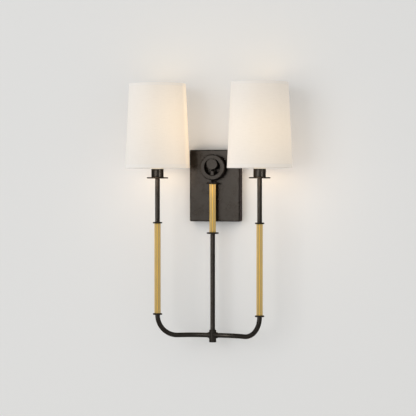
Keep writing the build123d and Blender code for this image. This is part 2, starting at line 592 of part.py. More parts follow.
def make_bulb_base():
    """The screw cap: a foot contact, a plain barrel and a skirt at the glass."""
    barrel = BULB_BASE_DIAMETER / 2
    skirt = BULB_SKIRT_DIAMETER / 2
    top = BULB_TIP_HEIGHT + BULB_BASE_LENGTH
    skirt_z = top - BULB_SKIRT_HEIGHT
    return turned_profile(
        [
            (0, 0),
            (BULB_TIP_DIAMETER / 2, 0),
            (BULB_TIP_DIAMETER / 2, BULB_TIP_HEIGHT),
            (barrel - BULB_BASE_BEVEL, BULB_TIP_HEIGHT),
            (barrel, BULB_TIP_HEIGHT + BULB_BASE_BEVEL),
            (barrel, skirt_z - BULB_SKIRT_STEP),
            (skirt, skirt_z),
            (skirt, top),
            (0, top),
        ]
    )


def make_bulb_glass():
    """A torpedo envelope of four tangent arcs: neck, shoulder, long side and round tip."""
    belly_z = BULB_GLASS_BELLY_SHARE * BULB_GLASS_LENGTH
    tip_centre_z = BULB_GLASS_LENGTH - BULB_GLASS_TIP_RADIUS

    def arc(centre_r, centre_z, radius, first, last):
        points = []
        for angle in (first, (first + last) / 2, last):
            points.append((centre_r + radius * math.cos(angle), 0, centre_z + radius * math.sin(angle)))
        return ThreePointArc(*points)

    def envelope(inset):
        neck = BULB_BASE_DIAMETER / 2 - inset
        belly = BULB_GLASS_DIAMETER / 2 - inset
        tip = BULB_GLASS_TIP_RADIUS - inset
        # Two equal arcs join the neck to the belly, upright at both ends.
        turn = 2 * math.atan2(belly - neck, belly_z)
        shoulder = belly_z / (2 * math.sin(turn))
        # The long side is upright at the belly and touches the tip's circle.
        rise = tip_centre_z - belly_z
        side = (belly**2 + rise**2 - tip**2) / (2 * (belly - tip))
        lean = math.atan2(rise, side - belly)
        outline = [
            Line((0, 0, 0), (neck, 0, 0)),
            arc(neck + shoulder, 0, shoulder, math.pi, math.pi - turn),
            arc(belly - shoulder, belly_z, shoulder, -turn, 0),
            arc(belly - side, belly_z, side, 0, lean),
            arc(0, tip_centre_z, tip, lean, math.pi / 2),
            Line((0, 0, tip_centre_z + tip), (0, 0, 0)),
        ]
        return revolve(make_face(Wire(outline)), Axis.Z)

    return envelope(0) - envelope(BULB_GLASS_WALL)


def make_socket_parts():
    """Everything between the top of an arm and the bulb, on the arm's axis."""
    nipple_bottom = BOBECHE_Z - NIPPLE_ENGAGEMENT
    nipple_top = CUP_FLOOR_Z + SOCKET_NIPPLE_STANDUP
    parts = {
        "bobeche": disc(
            BOBECHE_DIAMETER, BOBECHE_THICKNESS, NIPPLE_SEAT, BOBECHE_Z, edge=BOBECHE_EDGE_RADIUS
        ),
        "socket_cup": Pos(0, 0, CUP_Z) * make_socket_cup(),
        "socket_nipple": tube(NIPPLE_DIAMETER, NIPPLE_BORE, nipple_top - nipple_bottom, nipple_bottom),
        "socket_nut": Pos(0, 0, CUP_FLOOR_Z)
        * hex_nut(SOCKET_NUT_ACROSS_FLATS, NIPPLE_SEAT, SOCKET_NUT_THICKNESS),
        "socket": Pos(0, 0, SOCKET_Z) * make_socket(),
        "socket_shell": tube(
            SHELL_DIAMETER, SHELL_BORE, SOCKET_SHELL_LENGTH, SOCKET_TOP_Z - SOCKET_SHELL_LENGTH
        ),
        "socket_contact": Pos(0, 0, WELL_FLOOR_Z)
        * Cylinder(CONTACT_DIAMETER / 2, CONTACT_THICKNESS, align=(Align.CENTER, Align.CENTER, Align.MIN)),
        "shade_nut": Pos(0, 0, SHADE_NUT_Z) * make_shade_nut(),
        "bulb_base": Pos(0, 0, BULB_TIP_Z) * make_bulb_base(),
        "bulb_glass": Pos(0, 0, BULB_GLASS_Z) * make_bulb_glass(),
    }
    return {name: Pos(ARM_SPREAD, ARM_Y, 0) * solid for name, solid in parts.items()}


# ---------------------------------------------------------------- shade


def shade_radius(z):
    """Outer radius of the shade at height z."""
    share = (z - SHADE_Z) / SHADE_HEIGHT
    return (SHADE_BOTTOM_DIAMETER + share * (SHADE_TOP_DIAMETER - SHADE_BOTTOM_DIAMETER)) / 2


def make_shade():
    """The tapered fabric drum, open at both ends, with its edges turned in as hems."""

    def inside(z, hem):
        return shade_radius(z) - SHADE_WALL - hem * SHADE_HEM_THICKNESS

    lower_hem_z = SHADE_Z + SHADE_HEM_HEIGHT
    upper_hem_z = SHADE_TOP_Z - SHADE_HEM_HEIGHT
    return turned_profile(
        [
            (inside(SHADE_Z, 1), SHADE_Z),
            (shade_radius(SHADE_Z), SHADE_Z),
            (shade_radius(SHADE_TOP_Z), SHADE_TOP_Z),
            (inside(SHADE_TOP_Z, 1), SHADE_TOP_Z),
            (inside(upper_hem_z, 1), upper_hem_z),
            (inside(upper_hem_z, 0), upper_hem_z - SHADE_HEM_THICKNESS),
            (inside(lower_hem_z, 0), lower_hem_z + SHADE_HEM_THICKNESS),
            (inside(lower_hem_z, 1), lower_hem_z),
        ]
    )


def wire_hoop(z):
    """A round wire bent into a hoop that lies just inside the hem at height z."""
    radius = hoop_radius(z)
    section = Pos(radius, 0, z) * (Plane.XZ * Circle(SHADE_WIRE / 2))
    return revolve(section, Axis.Z)


def hoop_radius(z):
    """Centre radius of the wire hoop inside the hem at height z."""
    return shade_radius(z) - SHADE_WALL - SHADE_HEM_THICKNESS - SHADE_WIRE / 2 - SHADE_WIRE_CLEARANCE


def make_shade_spider(hoop_z):
    """The flat ring that drops over the socket thread, with spokes down to the lower hoop."""
    spider = tube(SPIDER_RING_DIAMETER, SPIDER_BORE, SPIDER_RING_THICKNESS, SPIDER_Z)
    inner = Vector(SPIDER_RING_DIAMETER / 2 - 2 * FIT, 0, SPIDER_Z + SPIDER_RING_THICKNESS / 2)
    outer = Vector(hoop_radius(hoop_z), 0, hoop_z)
    run = outer - inner
    spoke = extrude(Plane(origin=inner, z_dir=run.normalized()) * Circle(SPIDER_SPOKE_DIAMETER / 2), run.length)
    for index in range(SPIDER_SPOKES):
        spider += Rot(0, 0, 90 + 360 * index / SPIDER_SPOKES) * spoke
    return spider - wire_hoop(hoop_z)


def make_shade_parts():
    """The shade, its spider and its two hoops, on the arm's axis."""
    lower_hoop_z = SHADE_Z + SHADE_WIRE / 2
    parts = {
        "shade": make_shade(),
        "shade_spider": make_shade_spider(lower_hoop_z),
        "shade_lower_hoop": wire_hoop(lower_hoop_z),
        "shade_top_hoop": wire_hoop(SHADE_TOP_Z - SHADE_WIRE / 2),
    }
    return {name: Pos(ARM_SPREAD, ARM_Y, 0) * solid for name, solid in parts.items()}


# ---------------------------------------------------------------- assembly


def make_centre_parts():
    """Every node on the centre line."""
    parts = {
        "backplate": make_backplate(),
        "mounting_bracket": make_mounting_bracket(),
        "canopy_set_screws": make_canopy_set_screws(),
        "ground_screw": make_ground_screw(),
        "peg": make_peg(),
        "peg_lock_nut": make_peg_lock_nut(),
        "hanging_ring": make_hanging_ring(),
        "ring_nut": make_ring_nut(),
        "stem_nipple": make_stem_nipple(),
        "hub": make_hub(),
        "hub_cap": make_hub_cap(),
    }
    parts.update(make_stem_parts())
    return parts


def main():
    """Writes one STEP file for each node."""
    os.makedirs("parts", exist_ok=True)
    nodes = make_centre_parts()
    for name, solid in {**make_arm_parts(), **make_socket_parts(), **make_shade_parts()}.items():
        nodes["right_" + name] = solid
        nodes["left_" + name] = solid.mirror(Plane.YZ)
    for name, solid in nodes.items():
        export_step(solid, "parts/" + name + ".step")
    print(len(nodes), "nodes")


main()
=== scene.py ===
"""Looks of a double arm wall sconce, dressed round its fixed parts.

Metres, +Z up. The wall is the plane y = 0 and the front of the light faces -Y. Each sub-assembly is a class
that reads its places from the frame, makes the surfaces that the fixed parts leave plain, and gives every
piece a finish.
"""

import json
import logging
import math
from abc import ABC, abstractmethod
from collections.abc import Callable
from dataclasses import dataclass
from enum import Enum

import bmesh
import bpy
import numpy as np
from mathutils import Matrix, Vector

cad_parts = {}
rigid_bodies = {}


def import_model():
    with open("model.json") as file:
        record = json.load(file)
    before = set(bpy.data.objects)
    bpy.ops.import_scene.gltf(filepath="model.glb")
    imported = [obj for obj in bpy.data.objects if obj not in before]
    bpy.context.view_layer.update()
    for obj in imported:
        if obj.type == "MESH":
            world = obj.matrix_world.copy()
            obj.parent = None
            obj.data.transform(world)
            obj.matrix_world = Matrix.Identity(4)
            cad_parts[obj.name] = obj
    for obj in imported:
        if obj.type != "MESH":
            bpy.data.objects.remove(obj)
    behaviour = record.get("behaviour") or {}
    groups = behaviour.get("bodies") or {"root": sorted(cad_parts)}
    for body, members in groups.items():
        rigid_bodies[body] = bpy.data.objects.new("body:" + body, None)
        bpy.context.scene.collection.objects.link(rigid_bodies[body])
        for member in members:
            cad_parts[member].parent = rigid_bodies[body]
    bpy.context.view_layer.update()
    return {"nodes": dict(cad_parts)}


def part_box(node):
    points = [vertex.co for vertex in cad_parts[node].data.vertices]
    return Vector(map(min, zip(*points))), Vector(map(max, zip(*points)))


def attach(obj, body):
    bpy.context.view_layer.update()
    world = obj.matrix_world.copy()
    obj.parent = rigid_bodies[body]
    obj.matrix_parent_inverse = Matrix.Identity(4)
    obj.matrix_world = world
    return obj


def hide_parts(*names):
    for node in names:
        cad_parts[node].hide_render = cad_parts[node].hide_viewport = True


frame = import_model()

MM = 0.001
TURN = 2 * math.pi
FIT = 0.05 * MM
REED_SEED = 8718
log = logging.getLogger("sconce")

Colour = tuple[float, float, float]
Point = tuple[float, float, float]
Ripple = Callable[[np.ndarray, np.ndarray, np.ndarray], np.ndarray]


# ---------------------------------------------------------------- shader maths


class Sock:
    """A node's output that takes arithmetic: each operator adds its Math node."""

    def __init__(self, graph: "Graph", socket: bpy.types.NodeSocket | None) -> None:
        """Wraps one output socket of a graph."""
        self.graph = graph
        self.socket = socket

    def __add__(self, other: "Sock | float") -> "Sock":
        """Sum."""
        return self.graph.maths("ADD", self, other)

    def __sub__(self, other: "Sock | float") -> "Sock":
        """Difference."""
        return self.graph.maths("SUBTRACT", self, other)

    def __rsub__(self, other: float) -> "Sock":
        """Difference from a number."""
        return self.graph.maths("SUBTRACT", other, self)

    def __mul__(self, other: "Sock | float") -> "Sock":
        """Product."""
        return self.graph.maths("MULTIPLY", self, other)

    def __truediv__(self, other: "Sock | float") -> "Sock":
        """Quotient."""
        return self.graph.maths("DIVIDE", self, other)

    def __abs__(self) -> "Sock":
        """Size without sign."""
        return self.graph.maths("ABSOLUTE", self)

    __radd__ = __add__
    __rmul__ = __mul__

    def root(self) -> "Sock":
        """Square root."""
        return self.graph.maths("SQRT", self)

    def sine(self) -> "Sock":
        """Sine of an angle in radians."""
        return self.graph.maths("SINE", self)

    def bell(self, centre: float, width: float) -> "Sock":
        """The bell curve e^(-((x - centre) / width)^2)."""
        share = (self - centre) / width
        return self.graph.maths("EXPONENT", share * share * -1.0)

    def step(self, low: float, high: float) -> "Sock":
        """A smooth step.

        Args:
            low: The value at which it is 0, which may be the greater one.
            high: The value at which it is 1.

        Returns:
            The step.
        """
        first, last = min(low, high), max(low, high)
        rise = self.graph.node(
            "ShaderNodeMapRange",
            {"interpolation_type": "SMOOTHSTEP"},
            {"Value": self, "From Min": first, "From Max": last},
        )
        return rise if low < high else 1.0 - rise


class Graph:
    """A node tree that is written as expressions."""

    def __init__(self, tree: bpy.types.NodeTree) -> None:
        """Takes over a tree and empties it."""
        tree.nodes.clear()
        self.tree = tree

    def node(
        self,
        kind: str,
        settings: dict[str, object] | None = None,
        inputs: dict[int | str, object] | None = None,
        output: int | str = 0,
    ) -> Sock:
        """Adds one node.

        Args:
            kind: The node's type.
            settings: Its own settings, set first.
            inputs: A value or a link for each input socket, by name or number.
            output: The output socket to return, by name or number.

        Returns:
            The output socket, empty on a node that has none.
        """
        made = self.tree.nodes.new(kind)
        for name, value in (settings or {}).items():
            setattr(made, name, value)
        for name, value in (inputs or {}).items():
            socket = made.inputs[name]
            if isinstance(value, Sock):
                self.tree.links.new(value.socket, socket)
            elif socket.type == "RGBA":
                socket.default_value = (*value, 1.0)
            else:
                socket.default_value = value
        return Sock(self, made.outputs[output] if len(made.outputs) else None)

    def maths(self, operation: str, *values: Sock | float) -> Sock:
        """Adds a Math node on its values."""
        return self.node("ShaderNodeMath", {"operation": operation}, dict(enumerate(values)))

    def mix(self, factor: Sock | float, a: Sock | Colour, b: Sock | Colour) -> Sock:
        """Blends colour a into colour b."""
        return self.node("ShaderNodeMix", {"data_type": "RGBA"}, {0: factor, 6: a, 7: b}, 2)

    def coords(self) -> Sock:
        """The piece's own coordinates, in metres."""
        return self.node("ShaderNodeTexCoord", output="Object")

    def uv(self) -> Sock:
        """The piece's UV map, in metres across and along the cloth."""
        return self.node("ShaderNodeTexCoord", output="UV")

    def attribute(self, name: str) -> Sock:
        """A value that the mesh carries."""
        return self.node("ShaderNodeAttribute", {"attribute_name": name}, output="Fac")

    def parts(self, vector: Sock) -> list[Sock]:
        """The x, y and z of a vector."""
        made = self.node("ShaderNodeSeparateXYZ", None, {0: vector}).socket.node
        return [Sock(self, part) for part in made.outputs]

    def noise(
        self, place: Sock, size: float, detail: float = 2.0, stretch: Point = (1.0, 1.0, 1.0)
    ) -> Sock:
        """Cloudy noise around 0.5.

        Args:
            place: The coordinates.
            size: The size of one cloud, in metres.
            detail: How many finer layers it has.
            stretch: How many times longer the clouds are along each axis.

        Returns:
            The noise's value.
        """
        scale = tuple(1.0 / (size * s) for s in stretch)
        place = self.node("ShaderNodeVectorMath", {"operation": "MULTIPLY"}, {0: place, 1: scale})
        return self.node("ShaderNodeTexNoise", None, {"Vector": place, "Scale": 1.0, "Detail": detail})

    def bump(self, height: Sock, depth: float, strength: float) -> Sock:
        """A bumped normal. The height's unit is depth metres."""
        inputs = {"Height": height, "Distance": depth, "Strength": strength}
        return self.node("ShaderNodeBump", None, inputs)

    def surface(self, shader: Sock) -> None:
        """Ends the tree in a shader."""
        self.node("ShaderNodeOutputMaterial", None, {"Surface": shader})

    def principled(self, **inputs: object) -> Sock:
        """Adds a Principled shader; an input's name has underscores for its spaces."""
        named = {name.replace("_", " "): value for name, value in inputs.items()}
        return self.node("ShaderNodeBsdfPrincipled", None, named)


def new_material(name: str) -> tuple[bpy.types.Material, Graph]:
    """A named material and its empty graph."""
    material = bpy.data.materials.new(name)
    material.use_nodes = True
    return material, Graph(material.node_tree)


# ---------------------------------------------------------------- places


class Side(Enum):
    """Where a sub-assembly belongs, by the viewer's left and right. The value starts its nodes' names."""

    CENTRE = ""
    LEFT = "left_"
    RIGHT = "right_"


ARMS = (Side.LEFT, Side.RIGHT)


def risen(z: "Sock | np.ndarray | float", low: float, high: float) -> "Sock | np.ndarray | float":
    """How far z has risen from low to high, as a share."""
    return (z - low) / (high - low)


@dataclass(frozen=True)
class Seat:
    """Where a fixed part stands: its upright axis, its radius across x, and its lowest and highest z."""

    x: float
    y: float
    radius: float
    low: float
    high: float

    @classmethod
    def of(cls, node: str) -> "Seat":
        """Reads a fixed part's box."""
        low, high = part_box(node)
        return cls((low.x + high.x) / 2, (low.y + high.y) / 2, (high.x - low.x) / 2, low.z, high.z)


@dataclass(frozen=True)
class Cone:
    """A shade's outer side: its foot, and the radius of its top, to which the radius falls evenly."""

    foot: Seat
    top: float
    rim_depth: float = 0.01 * MM

    @classmethod
    def of(cls, node: str) -> "Cone":
        """Measures a fixed shade: its box gives the foot, and its highest points give the top."""
        foot = Seat.of(node)
        mesh = frame["nodes"][node].data
        points = np.zeros(len(mesh.vertices) * 3, np.float32)
        mesh.vertices.foreach_get("co", points)
        points = points.reshape(-1, 3)
        rim = points[points[:, 2] > foot.high - cls.rim_depth]
        return cls(foot, float(np.hypot(rim[:, 0] - foot.x, rim[:, 1] - foot.y).max()))

    @property
    def mean(self) -> float:
        """The radius halfway up."""
        return (self.foot.radius + self.top) / 2

    def radius(self, z: np.ndarray | float) -> np.ndarray | float:
        """The radius at a height."""
        return self.foot.radius + risen(z, self.foot.low, self.foot.high) * (self.top - self.foot.radius)


# ---------------------------------------------------------------- finishes


class Slot(Enum):
    """The finishes that the record names."""

    BRONZE = "bronze"
    BRASS = "brass"
    ZINC = "zinc_steel"
    GREEN = "ground_green"
    PHENOLIC = "phenolic"
    SHELL = "shell_brass"
    BULB_METAL = "bulb_metal"
    BULB_GLASS = "bulb_glass"
    LINEN = "linen"
    WIRE = "shade_wire"


class Finish(ABC):
    """A finish that can be made a material."""

    @abstractmethod
    def shader(self, graph: Graph, place: Sock) -> Sock:
        """Adds the finish's nodes.

        Args:
            graph: The material's graph.
            place: The piece's own coordinates.

        Returns:
            The shader.
        """

    def material(self, name: str) -> bpy.types.Material:
        """Makes the finish a named material."""
        material, graph = new_material(name)
        graph.surface(self.shader(graph, graph.coords()))
        return material


@dataclass(frozen=True)
class Lacquer(Finish):
    """Satin lacquer or enamel over metal: clouded, finely grained, with a few paler rubs."""

    deep: Colour
    body: Colour
    rub: Colour
    rub_share: float
    metallic: float
    roughness: float
    coat: float
    gloss: float = 0.5
    edge: Colour = (1.0, 1.0, 1.0)
    cloud: float = 16 * MM
    speck: float = 1.6 * MM
    grain: float = 0.7 * MM
    grain_depth: float = 0.03 * MM

    def shader(self, graph: Graph, place: Sock) -> Sock:
        """Clouds mix the two body colours, and specks on the paler clouds show the rub."""
        clouds = graph.noise(place, self.cloud, 4.0)
        specks = graph.noise(place, self.speck, 3.0)
        grain = graph.noise(place, self.grain)
        colour = graph.mix(clouds.step(0.32, 0.68), self.deep, self.body)
        rubbed = specks.step(0.60, 0.72) * clouds.step(0.45, 0.62) * self.rub_share
        return graph.principled(
            Base_Color=graph.mix(rubbed, colour, self.rub),
            Metallic=self.metallic,
            Roughness=self.roughness + (clouds - 0.5) * 0.16 + (grain - 0.5) * 0.10,
            Specular_IOR_Level=self.gloss,
            Specular_Tint=self.edge,
            Coat_Weight=self.coat,
            Coat_Roughness=0.22,
            Normal=graph.bump(grain + clouds * 1.5, self.grain_depth, 0.5),
        )


@dataclass(frozen=True)
class Reeded(Finish):
    """Satin brass on reeds: golden crests, tarnish in the grooves and long drawn streaks."""

    crest: Colour = (0.78, 0.505, 0.115)
    groove: Colour = (0.20, 0.115, 0.030)
    tan: Colour = (0.48, 0.360, 0.165)
    roughness: float = 0.36
    streak: float = 0.5 * MM
    draw: Point = (1.0, 1.0, 60.0)
    cloud: float = 14 * MM

    def shader(self, graph: Graph, place: Sock) -> Sock:
        """The mesh carries the height above the grooves and each reed's own tone."""
        height, tone = graph.attribute("reed_height"), graph.attribute("reed_tone")
        streaks = graph.noise(place, self.streak, 3.0, self.draw)
        clouds = graph.noise(place, self.cloud, 4.0)
        colour = graph.mix((tone * 0.7 + streaks * 0.6).step(0.35, 1.0), self.crest, self.tan)
        colour = graph.mix(clouds.step(0.35, 0.75) * 0.25, colour, self.tan)
        return graph.principled(
            Base_Color=graph.mix(height.step(0.45, 0.0) * 0.85, colour, self.groove),
            Metallic=1.0,
            Roughness=self.roughness + (streaks - 0.5) * 0.18 + height.step(0.4, 0.0) * 0.15,
            Normal=graph.bump(streaks, 0.02 * MM, 0.5),
        )


@dataclass(frozen=True)
class BareMetal(Finish):
    """Plated or drawn metal: fine scratches along its draw and dull clouds."""

    bright: Colour
    dull: Colour
    roughness: float
    draw: Point = (1.0, 1.0, 1.0)
    scratch: float = 0.35 * MM
    spangle: float = 5 * MM

    def shader(self, graph: Graph, place: Sock) -> Sock:
        """Scratches roughen the metal and clouds dull it."""
        scratches = graph.noise(place, self.scratch, 3.0, self.draw)
        spangles = graph.noise(place, self.spangle, 5.0)
        return graph.principled(
            Base_Color=graph.mix(spangles.step(0.35, 0.70), self.bright, self.dull),
            Metallic=1.0,
            Roughness=self.roughness + (scratches - 0.5) * 0.25 + (spangles - 0.5) * 0.12,
            Normal=graph.bump(scratches, 0.015 * MM, 0.5),
        )


@dataclass(frozen=True)
class Moulded(Finish):
    """Moulded plastic: flow clouds under a slightly pitted skin."""

    body: Colour
    flow: Colour
    roughness: float
    cloud: float = 6 * MM
    draw: Point = (1.0, 1.0, 2.5)
    pit: float = 0.4 * MM

    def shader(self, graph: Graph, place: Sock) -> Sock:
        """Stretched clouds tint the body and fine pits roughen it."""
        flow = graph.noise(place, self.cloud, 4.0, self.draw)
        pits = graph.noise(place, self.pit)
        return graph.principled(
            Base_Color=graph.mix(flow.step(0.35, 0.75), self.body, self.flow),
            Roughness=self.roughness + (pits - 0.5) * 0.16,
            Normal=graph.bump(pits, 0.02 * MM, 0.4),
        )


@dataclass(frozen=True)
class LitGlass(Finish):
    """Frosted glass with the lamp lit: hottest round the filament and amber towards the neck and tip."""

    low: float
    high: float
    hot: Colour = (1.0, 0.90, 0.72)
    amber: Colour = (0.86, 0.60, 0.33)
    clear: Colour = (0.86, 0.82, 0.76)
    white: Colour = (0.93, 0.90, 0.85)
    pit: float = 0.3 * MM

    def shader(self, graph: Graph, place: Sock) -> Sock:
        """A bell curve of height mixes amber into hot; the frosting is fine pits."""
        height = risen(graph.parts(place)[2], self.low, self.high)
        frost = graph.noise(place, self.pit)
        return graph.principled(
            Base_Color=graph.mix(frost, self.clear, self.white),
            Roughness=0.30 + frost * 0.18,
            Emission_Color=graph.mix(height.bell(0.42, 0.34), self.amber, self.hot),
            Emission_Strength=1.1,
            Normal=graph.bump(frost, 0.02 * MM, 0.4),
        )


@dataclass(frozen=True)
class Glow:
    """How the bulb's light shows through one shade's cloth.

    It is strongest at one bearing, in degrees from the front towards +X, and is a bell curve of height,
    whose middle and spread are shares of the shade's height. Past the bell's ends some of it stays on that
    side, and a last part lies in a narrow band along that bearing.
    """

    # Painted light: the glow is emission colour on the cloth, which is no lamp. Its greater strength on one
    # side and its narrow band along the bearing paint the light that the other shade and the room throw on
    # that side, as well as the bulb's own.
    bearing: float
    share: float
    middle: float
    spread: float
    ends: float
    edge: float


@dataclass(frozen=True)
class Linen(Finish):
    """Plain-woven linen with the bulb's light coming through it, weaker where the cloth is double.

    The UV map holds metres across and along the cloth. Each thread is the size of a sine, and a slow sine
    along times a slow sine across says which of the two threads lies on top.
    """

    cone: Cone
    hem: float
    glow: Glow
    thread: Colour = (0.715, 0.690, 0.660)
    slub: Colour = (0.650, 0.618, 0.575)
    doubled: Colour = (0.730, 0.710, 0.685)
    glow_colour: Colour = (0.50, 0.331, 0.125)
    dark: Colour = (0.0, 0.0, 0.0)
    pitch: float = 0.55 * MM
    slub_width: float = 0.7 * MM
    slub_across: Point = (26.0, 1.0, 1.0)
    slub_along: Point = (1.0, 22.0, 1.0)
    cloud: float = 45 * MM
    top_hem_share: float = 0.72
    fade: float = 0.5 * MM

    def shader(self, graph: Graph, place: Sock) -> Sock:
        """Builds the weave, the slubs, the hems and the glow."""
        cloth = graph.uv()
        across, along, _ = graph.parts(cloth)
        x, y, z = graph.parts(place)
        turn = math.pi / self.pitch
        weft, warp = abs((along * turn).sine()), abs((across * turn).sine())
        over = ((along * turn * 0.5).sine() * (across * turn * 0.5).sine()).step(-0.2, 0.2)
        weave = weft * over + warp * (1.0 - over)
        slubs_across = graph.noise(cloth, self.slub_width, 3.0, self.slub_across)
        slubs_along = graph.noise(cloth, self.slub_width, 3.0, self.slub_along)
        slubs = slubs_across.step(0.52, 0.75) + slubs_along.step(0.54, 0.78) * 0.7
        clouds = graph.noise(place, self.cloud, 3.0)
        above, below = z - self.cone.foot.low, self.cone.foot.high - z
        low_hem, top_hem, fade = self.hem, self.hem * self.top_hem_share, self.fade
        double = graph.maths(
            "MAXIMUM", above.step(low_hem + fade, low_hem - fade), below.step(top_hem + fade, top_hem - fade)
        )
        edge = above.bell(low_hem, fade) + below.bell(top_hem, fade)
        colour = graph.mix(slubs * 0.5, self.thread, self.slub)
        colour = graph.mix((1.0 - weave) * 0.12 + clouds.step(0.4, 0.8) * 0.10, colour, self.slub)
        colour = graph.mix(double * 0.6, colour, self.doubled)
        light = self._light(x, y, z) * (1.0 - slubs * 0.10) * (1.0 - double * 0.25)
        return graph.principled(
            Base_Color=graph.mix(edge * 0.35, colour, self.slub),
            Roughness=0.88,
            Sheen_Weight=0.15,
            Sheen_Roughness=0.5,
            Specular_IOR_Level=0.25,
            Emission_Color=graph.mix(light, self.dark, self.glow_colour),
            Emission_Strength=1.0,
            Normal=graph.bump(weave + slubs * 0.8, 0.10 * MM, 0.6),
        )

    def _light(self, x: Sock, y: Sock, z: Sock) -> Sock:
        """How strongly a point of single cloth glows.

        Its lean is the cosine of the angle between its own bearing and the glow's.

        Args:
            x: The point's x.
            y: Its y.
            z: Its z.

        Returns:
            The glow, as a share of its full colour.
        """
        glow, foot, bearing = self.glow, self.cone.foot, math.radians(self.glow.bearing)
        right, back = x - foot.x, y - foot.y
        reach = right * math.sin(bearing) - back * math.cos(bearing)
        lean = reach / (right * right + back * back).root()
        facing = lean.step(-1.1, 1.0)
        heat = risen(z, foot.low, foot.high).bell(glow.middle, glow.spread)
        light = (heat * 0.75 + 0.25) * (facing * 0.8 + 0.2)
        light = light + facing.step(0.5, 1.0) * (1.0 - heat) * glow.ends
        return light * glow.share + lean.step(0.93, 1.0) * glow.edge


@dataclass(frozen=True)
class Liner(Finish):
    """White laminate inside a shade, brightly lit by the bulb."""

    cone: Cone
    body: Colour = (0.86, 0.85, 0.82)
    shadow: Colour = (0.78, 0.76, 0.71)
    near: Colour = (0.62, 0.48, 0.30)
    far: Colour = (0.22, 0.15, 0.08)
    ripple: float = 3 * MM

    def shader(self, graph: Graph, place: Sock) -> Sock:
        """The light falls off with height from the bulb."""
        height = risen(graph.parts(place)[2], self.cone.foot.low, self.cone.foot.high)
        ripple = graph.noise(place, self.ripple, 3.0)
        return graph.principled(
            Base_Color=graph.mix(ripple * 0.3, self.body, self.shadow),
            Roughness=0.45 + ripple * 0.1,
            Emission_Color=graph.mix(height.bell(0.40, 0.36), self.far, self.near),
            Emission_Strength=1.0,
            Normal=graph.bump(ripple, 0.03 * MM, 0.4),
        )


class Palette:
    """Every finish of the record that more than one piece shares."""

    def __init__(self, glass: Seat) -> None:
        """Builds each finish once, the lit glass for bulbs that stand at this seat's height."""
        finishes = {
            Slot.BRONZE: Lacquer(
                deep=(0.0215, 0.0190, 0.0165),
                body=(0.0260, 0.0235, 0.0210),
                rub=(0.052, 0.038, 0.024),
                rub_share=0.16,
                metallic=0.80,
                roughness=0.29,
                coat=0.0,
                gloss=0.20,
                edge=(0.34, 0.22, 0.12),
            ),
            Slot.BRASS: Reeded(),
            Slot.ZINC: BareMetal((0.60, 0.60, 0.57), (0.44, 0.44, 0.41), 0.38),
            Slot.GREEN: Lacquer(
                deep=(0.020, 0.150, 0.040),
                body=(0.035, 0.240, 0.070),
                rub=(0.420, 0.430, 0.380),
                rub_share=0.6,
                metallic=0.6,
                roughness=0.36,
                coat=0.2,
            ),
            Slot.PHENOLIC: Moulded((0.79, 0.76, 0.69), (0.70, 0.66, 0.58), 0.36),
            Slot.SHELL: BareMetal((0.72, 0.54, 0.25), (0.52, 0.36, 0.15), 0.30, (1.0, 1.0, 10.0)),
            Slot.BULB_METAL: BareMetal((0.80, 0.80, 0.78), (0.62, 0.62, 0.60), 0.24),
            Slot.BULB_GLASS: LitGlass(glass.low, glass.high),
            Slot.WIRE: Lacquer(
                deep=(0.74, 0.73, 0.70),
                body=(0.82, 0.81, 0.78),
                rub=(0.62, 0.59, 0.54),
                rub_share=0.25,
                metallic=0.0,
                roughness=0.34,
                coat=0.3,
            ),
        }
        self._made = {slot: finish.material(slot.value) for slot, finish in finishes.items()}

    def __getitem__(self, slot: Slot) -> bpy.types.Material:
        """The material of a slot."""
        return self._made[slot]


# ---------------------------------------------------------------- surfaces


def rounded(corners: list[tuple[float, float]], radii: float | list[float], steps: int = 4) -> np.ndarray:
    """Rounds the corners of a closed outline.

    Each corner C becomes the curve (1-s)^2 P + 2s(1-s) C + s^2 Q, where P and Q lie on the corner's two
    sides, its radius away from it, or nearly half a side where that is less.

    Args:
        corners: The outline's corners in order.
        radii: One radius, or one for each corner.
        steps: How many straight pieces each curve has.

    Returns:
        The outline's points, one row each.
    """
    middle = np.asarray(corners, float)
    back = np.roll(middle, 1, axis=0) - middle
    ahead = np.roll(middle, -1, axis=0) - middle
    back_length = np.linalg.norm(back, axis=1, keepdims=True)
    ahead_length = np.linalg.norm(ahead, axis=1, keepdims=True)
    wanted = np.broadcast_to(np.asarray(radii, float), len(middle))[:, None]
    reach = np.minimum(wanted, 0.48 * np.minimum(back_length, ahead_length))
    start = (middle + back / back_length * reach)[:, None]
    end = (middle + ahead / ahead_length * reach)[:, None]
    s = np.linspace(0.0, 1.0, steps + 1)[None, :, None]
    curve = (1 - s) ** 2 * start + 2 * s * (1 - s) * middle[:, None] + s**2 * end
    return curve.reshape(-1, 2)


def turned(profile: np.ndarray, columns: int, ripple: Ripple | None = None) -> np.ndarray:
    """Turns a profile about Z: a point is ((r + ripple) cos a, (r + ripple) sin a, h).

    Args:
        profile: Rows of radius and height.
        columns: How many steps the full turn has.
        ripple: What to add to the radius, from the angles, radii and heights.

    Returns:
        A grid of points, one row for each point of the profile.
    """
    angle = np.linspace(0.0, TURN, columns, endpoint=False)[None, :]
    radius = np.repeat(profile[:, :1], columns, axis=1)
    height = np.repeat(profile[:, 1:], columns, axis=1)
    if ripple is not None:
        radius = radius + ripple(angle, radius, height)
    return np.stack([radius * np.cos(angle), radius * np.sin(angle), height], axis=-1)


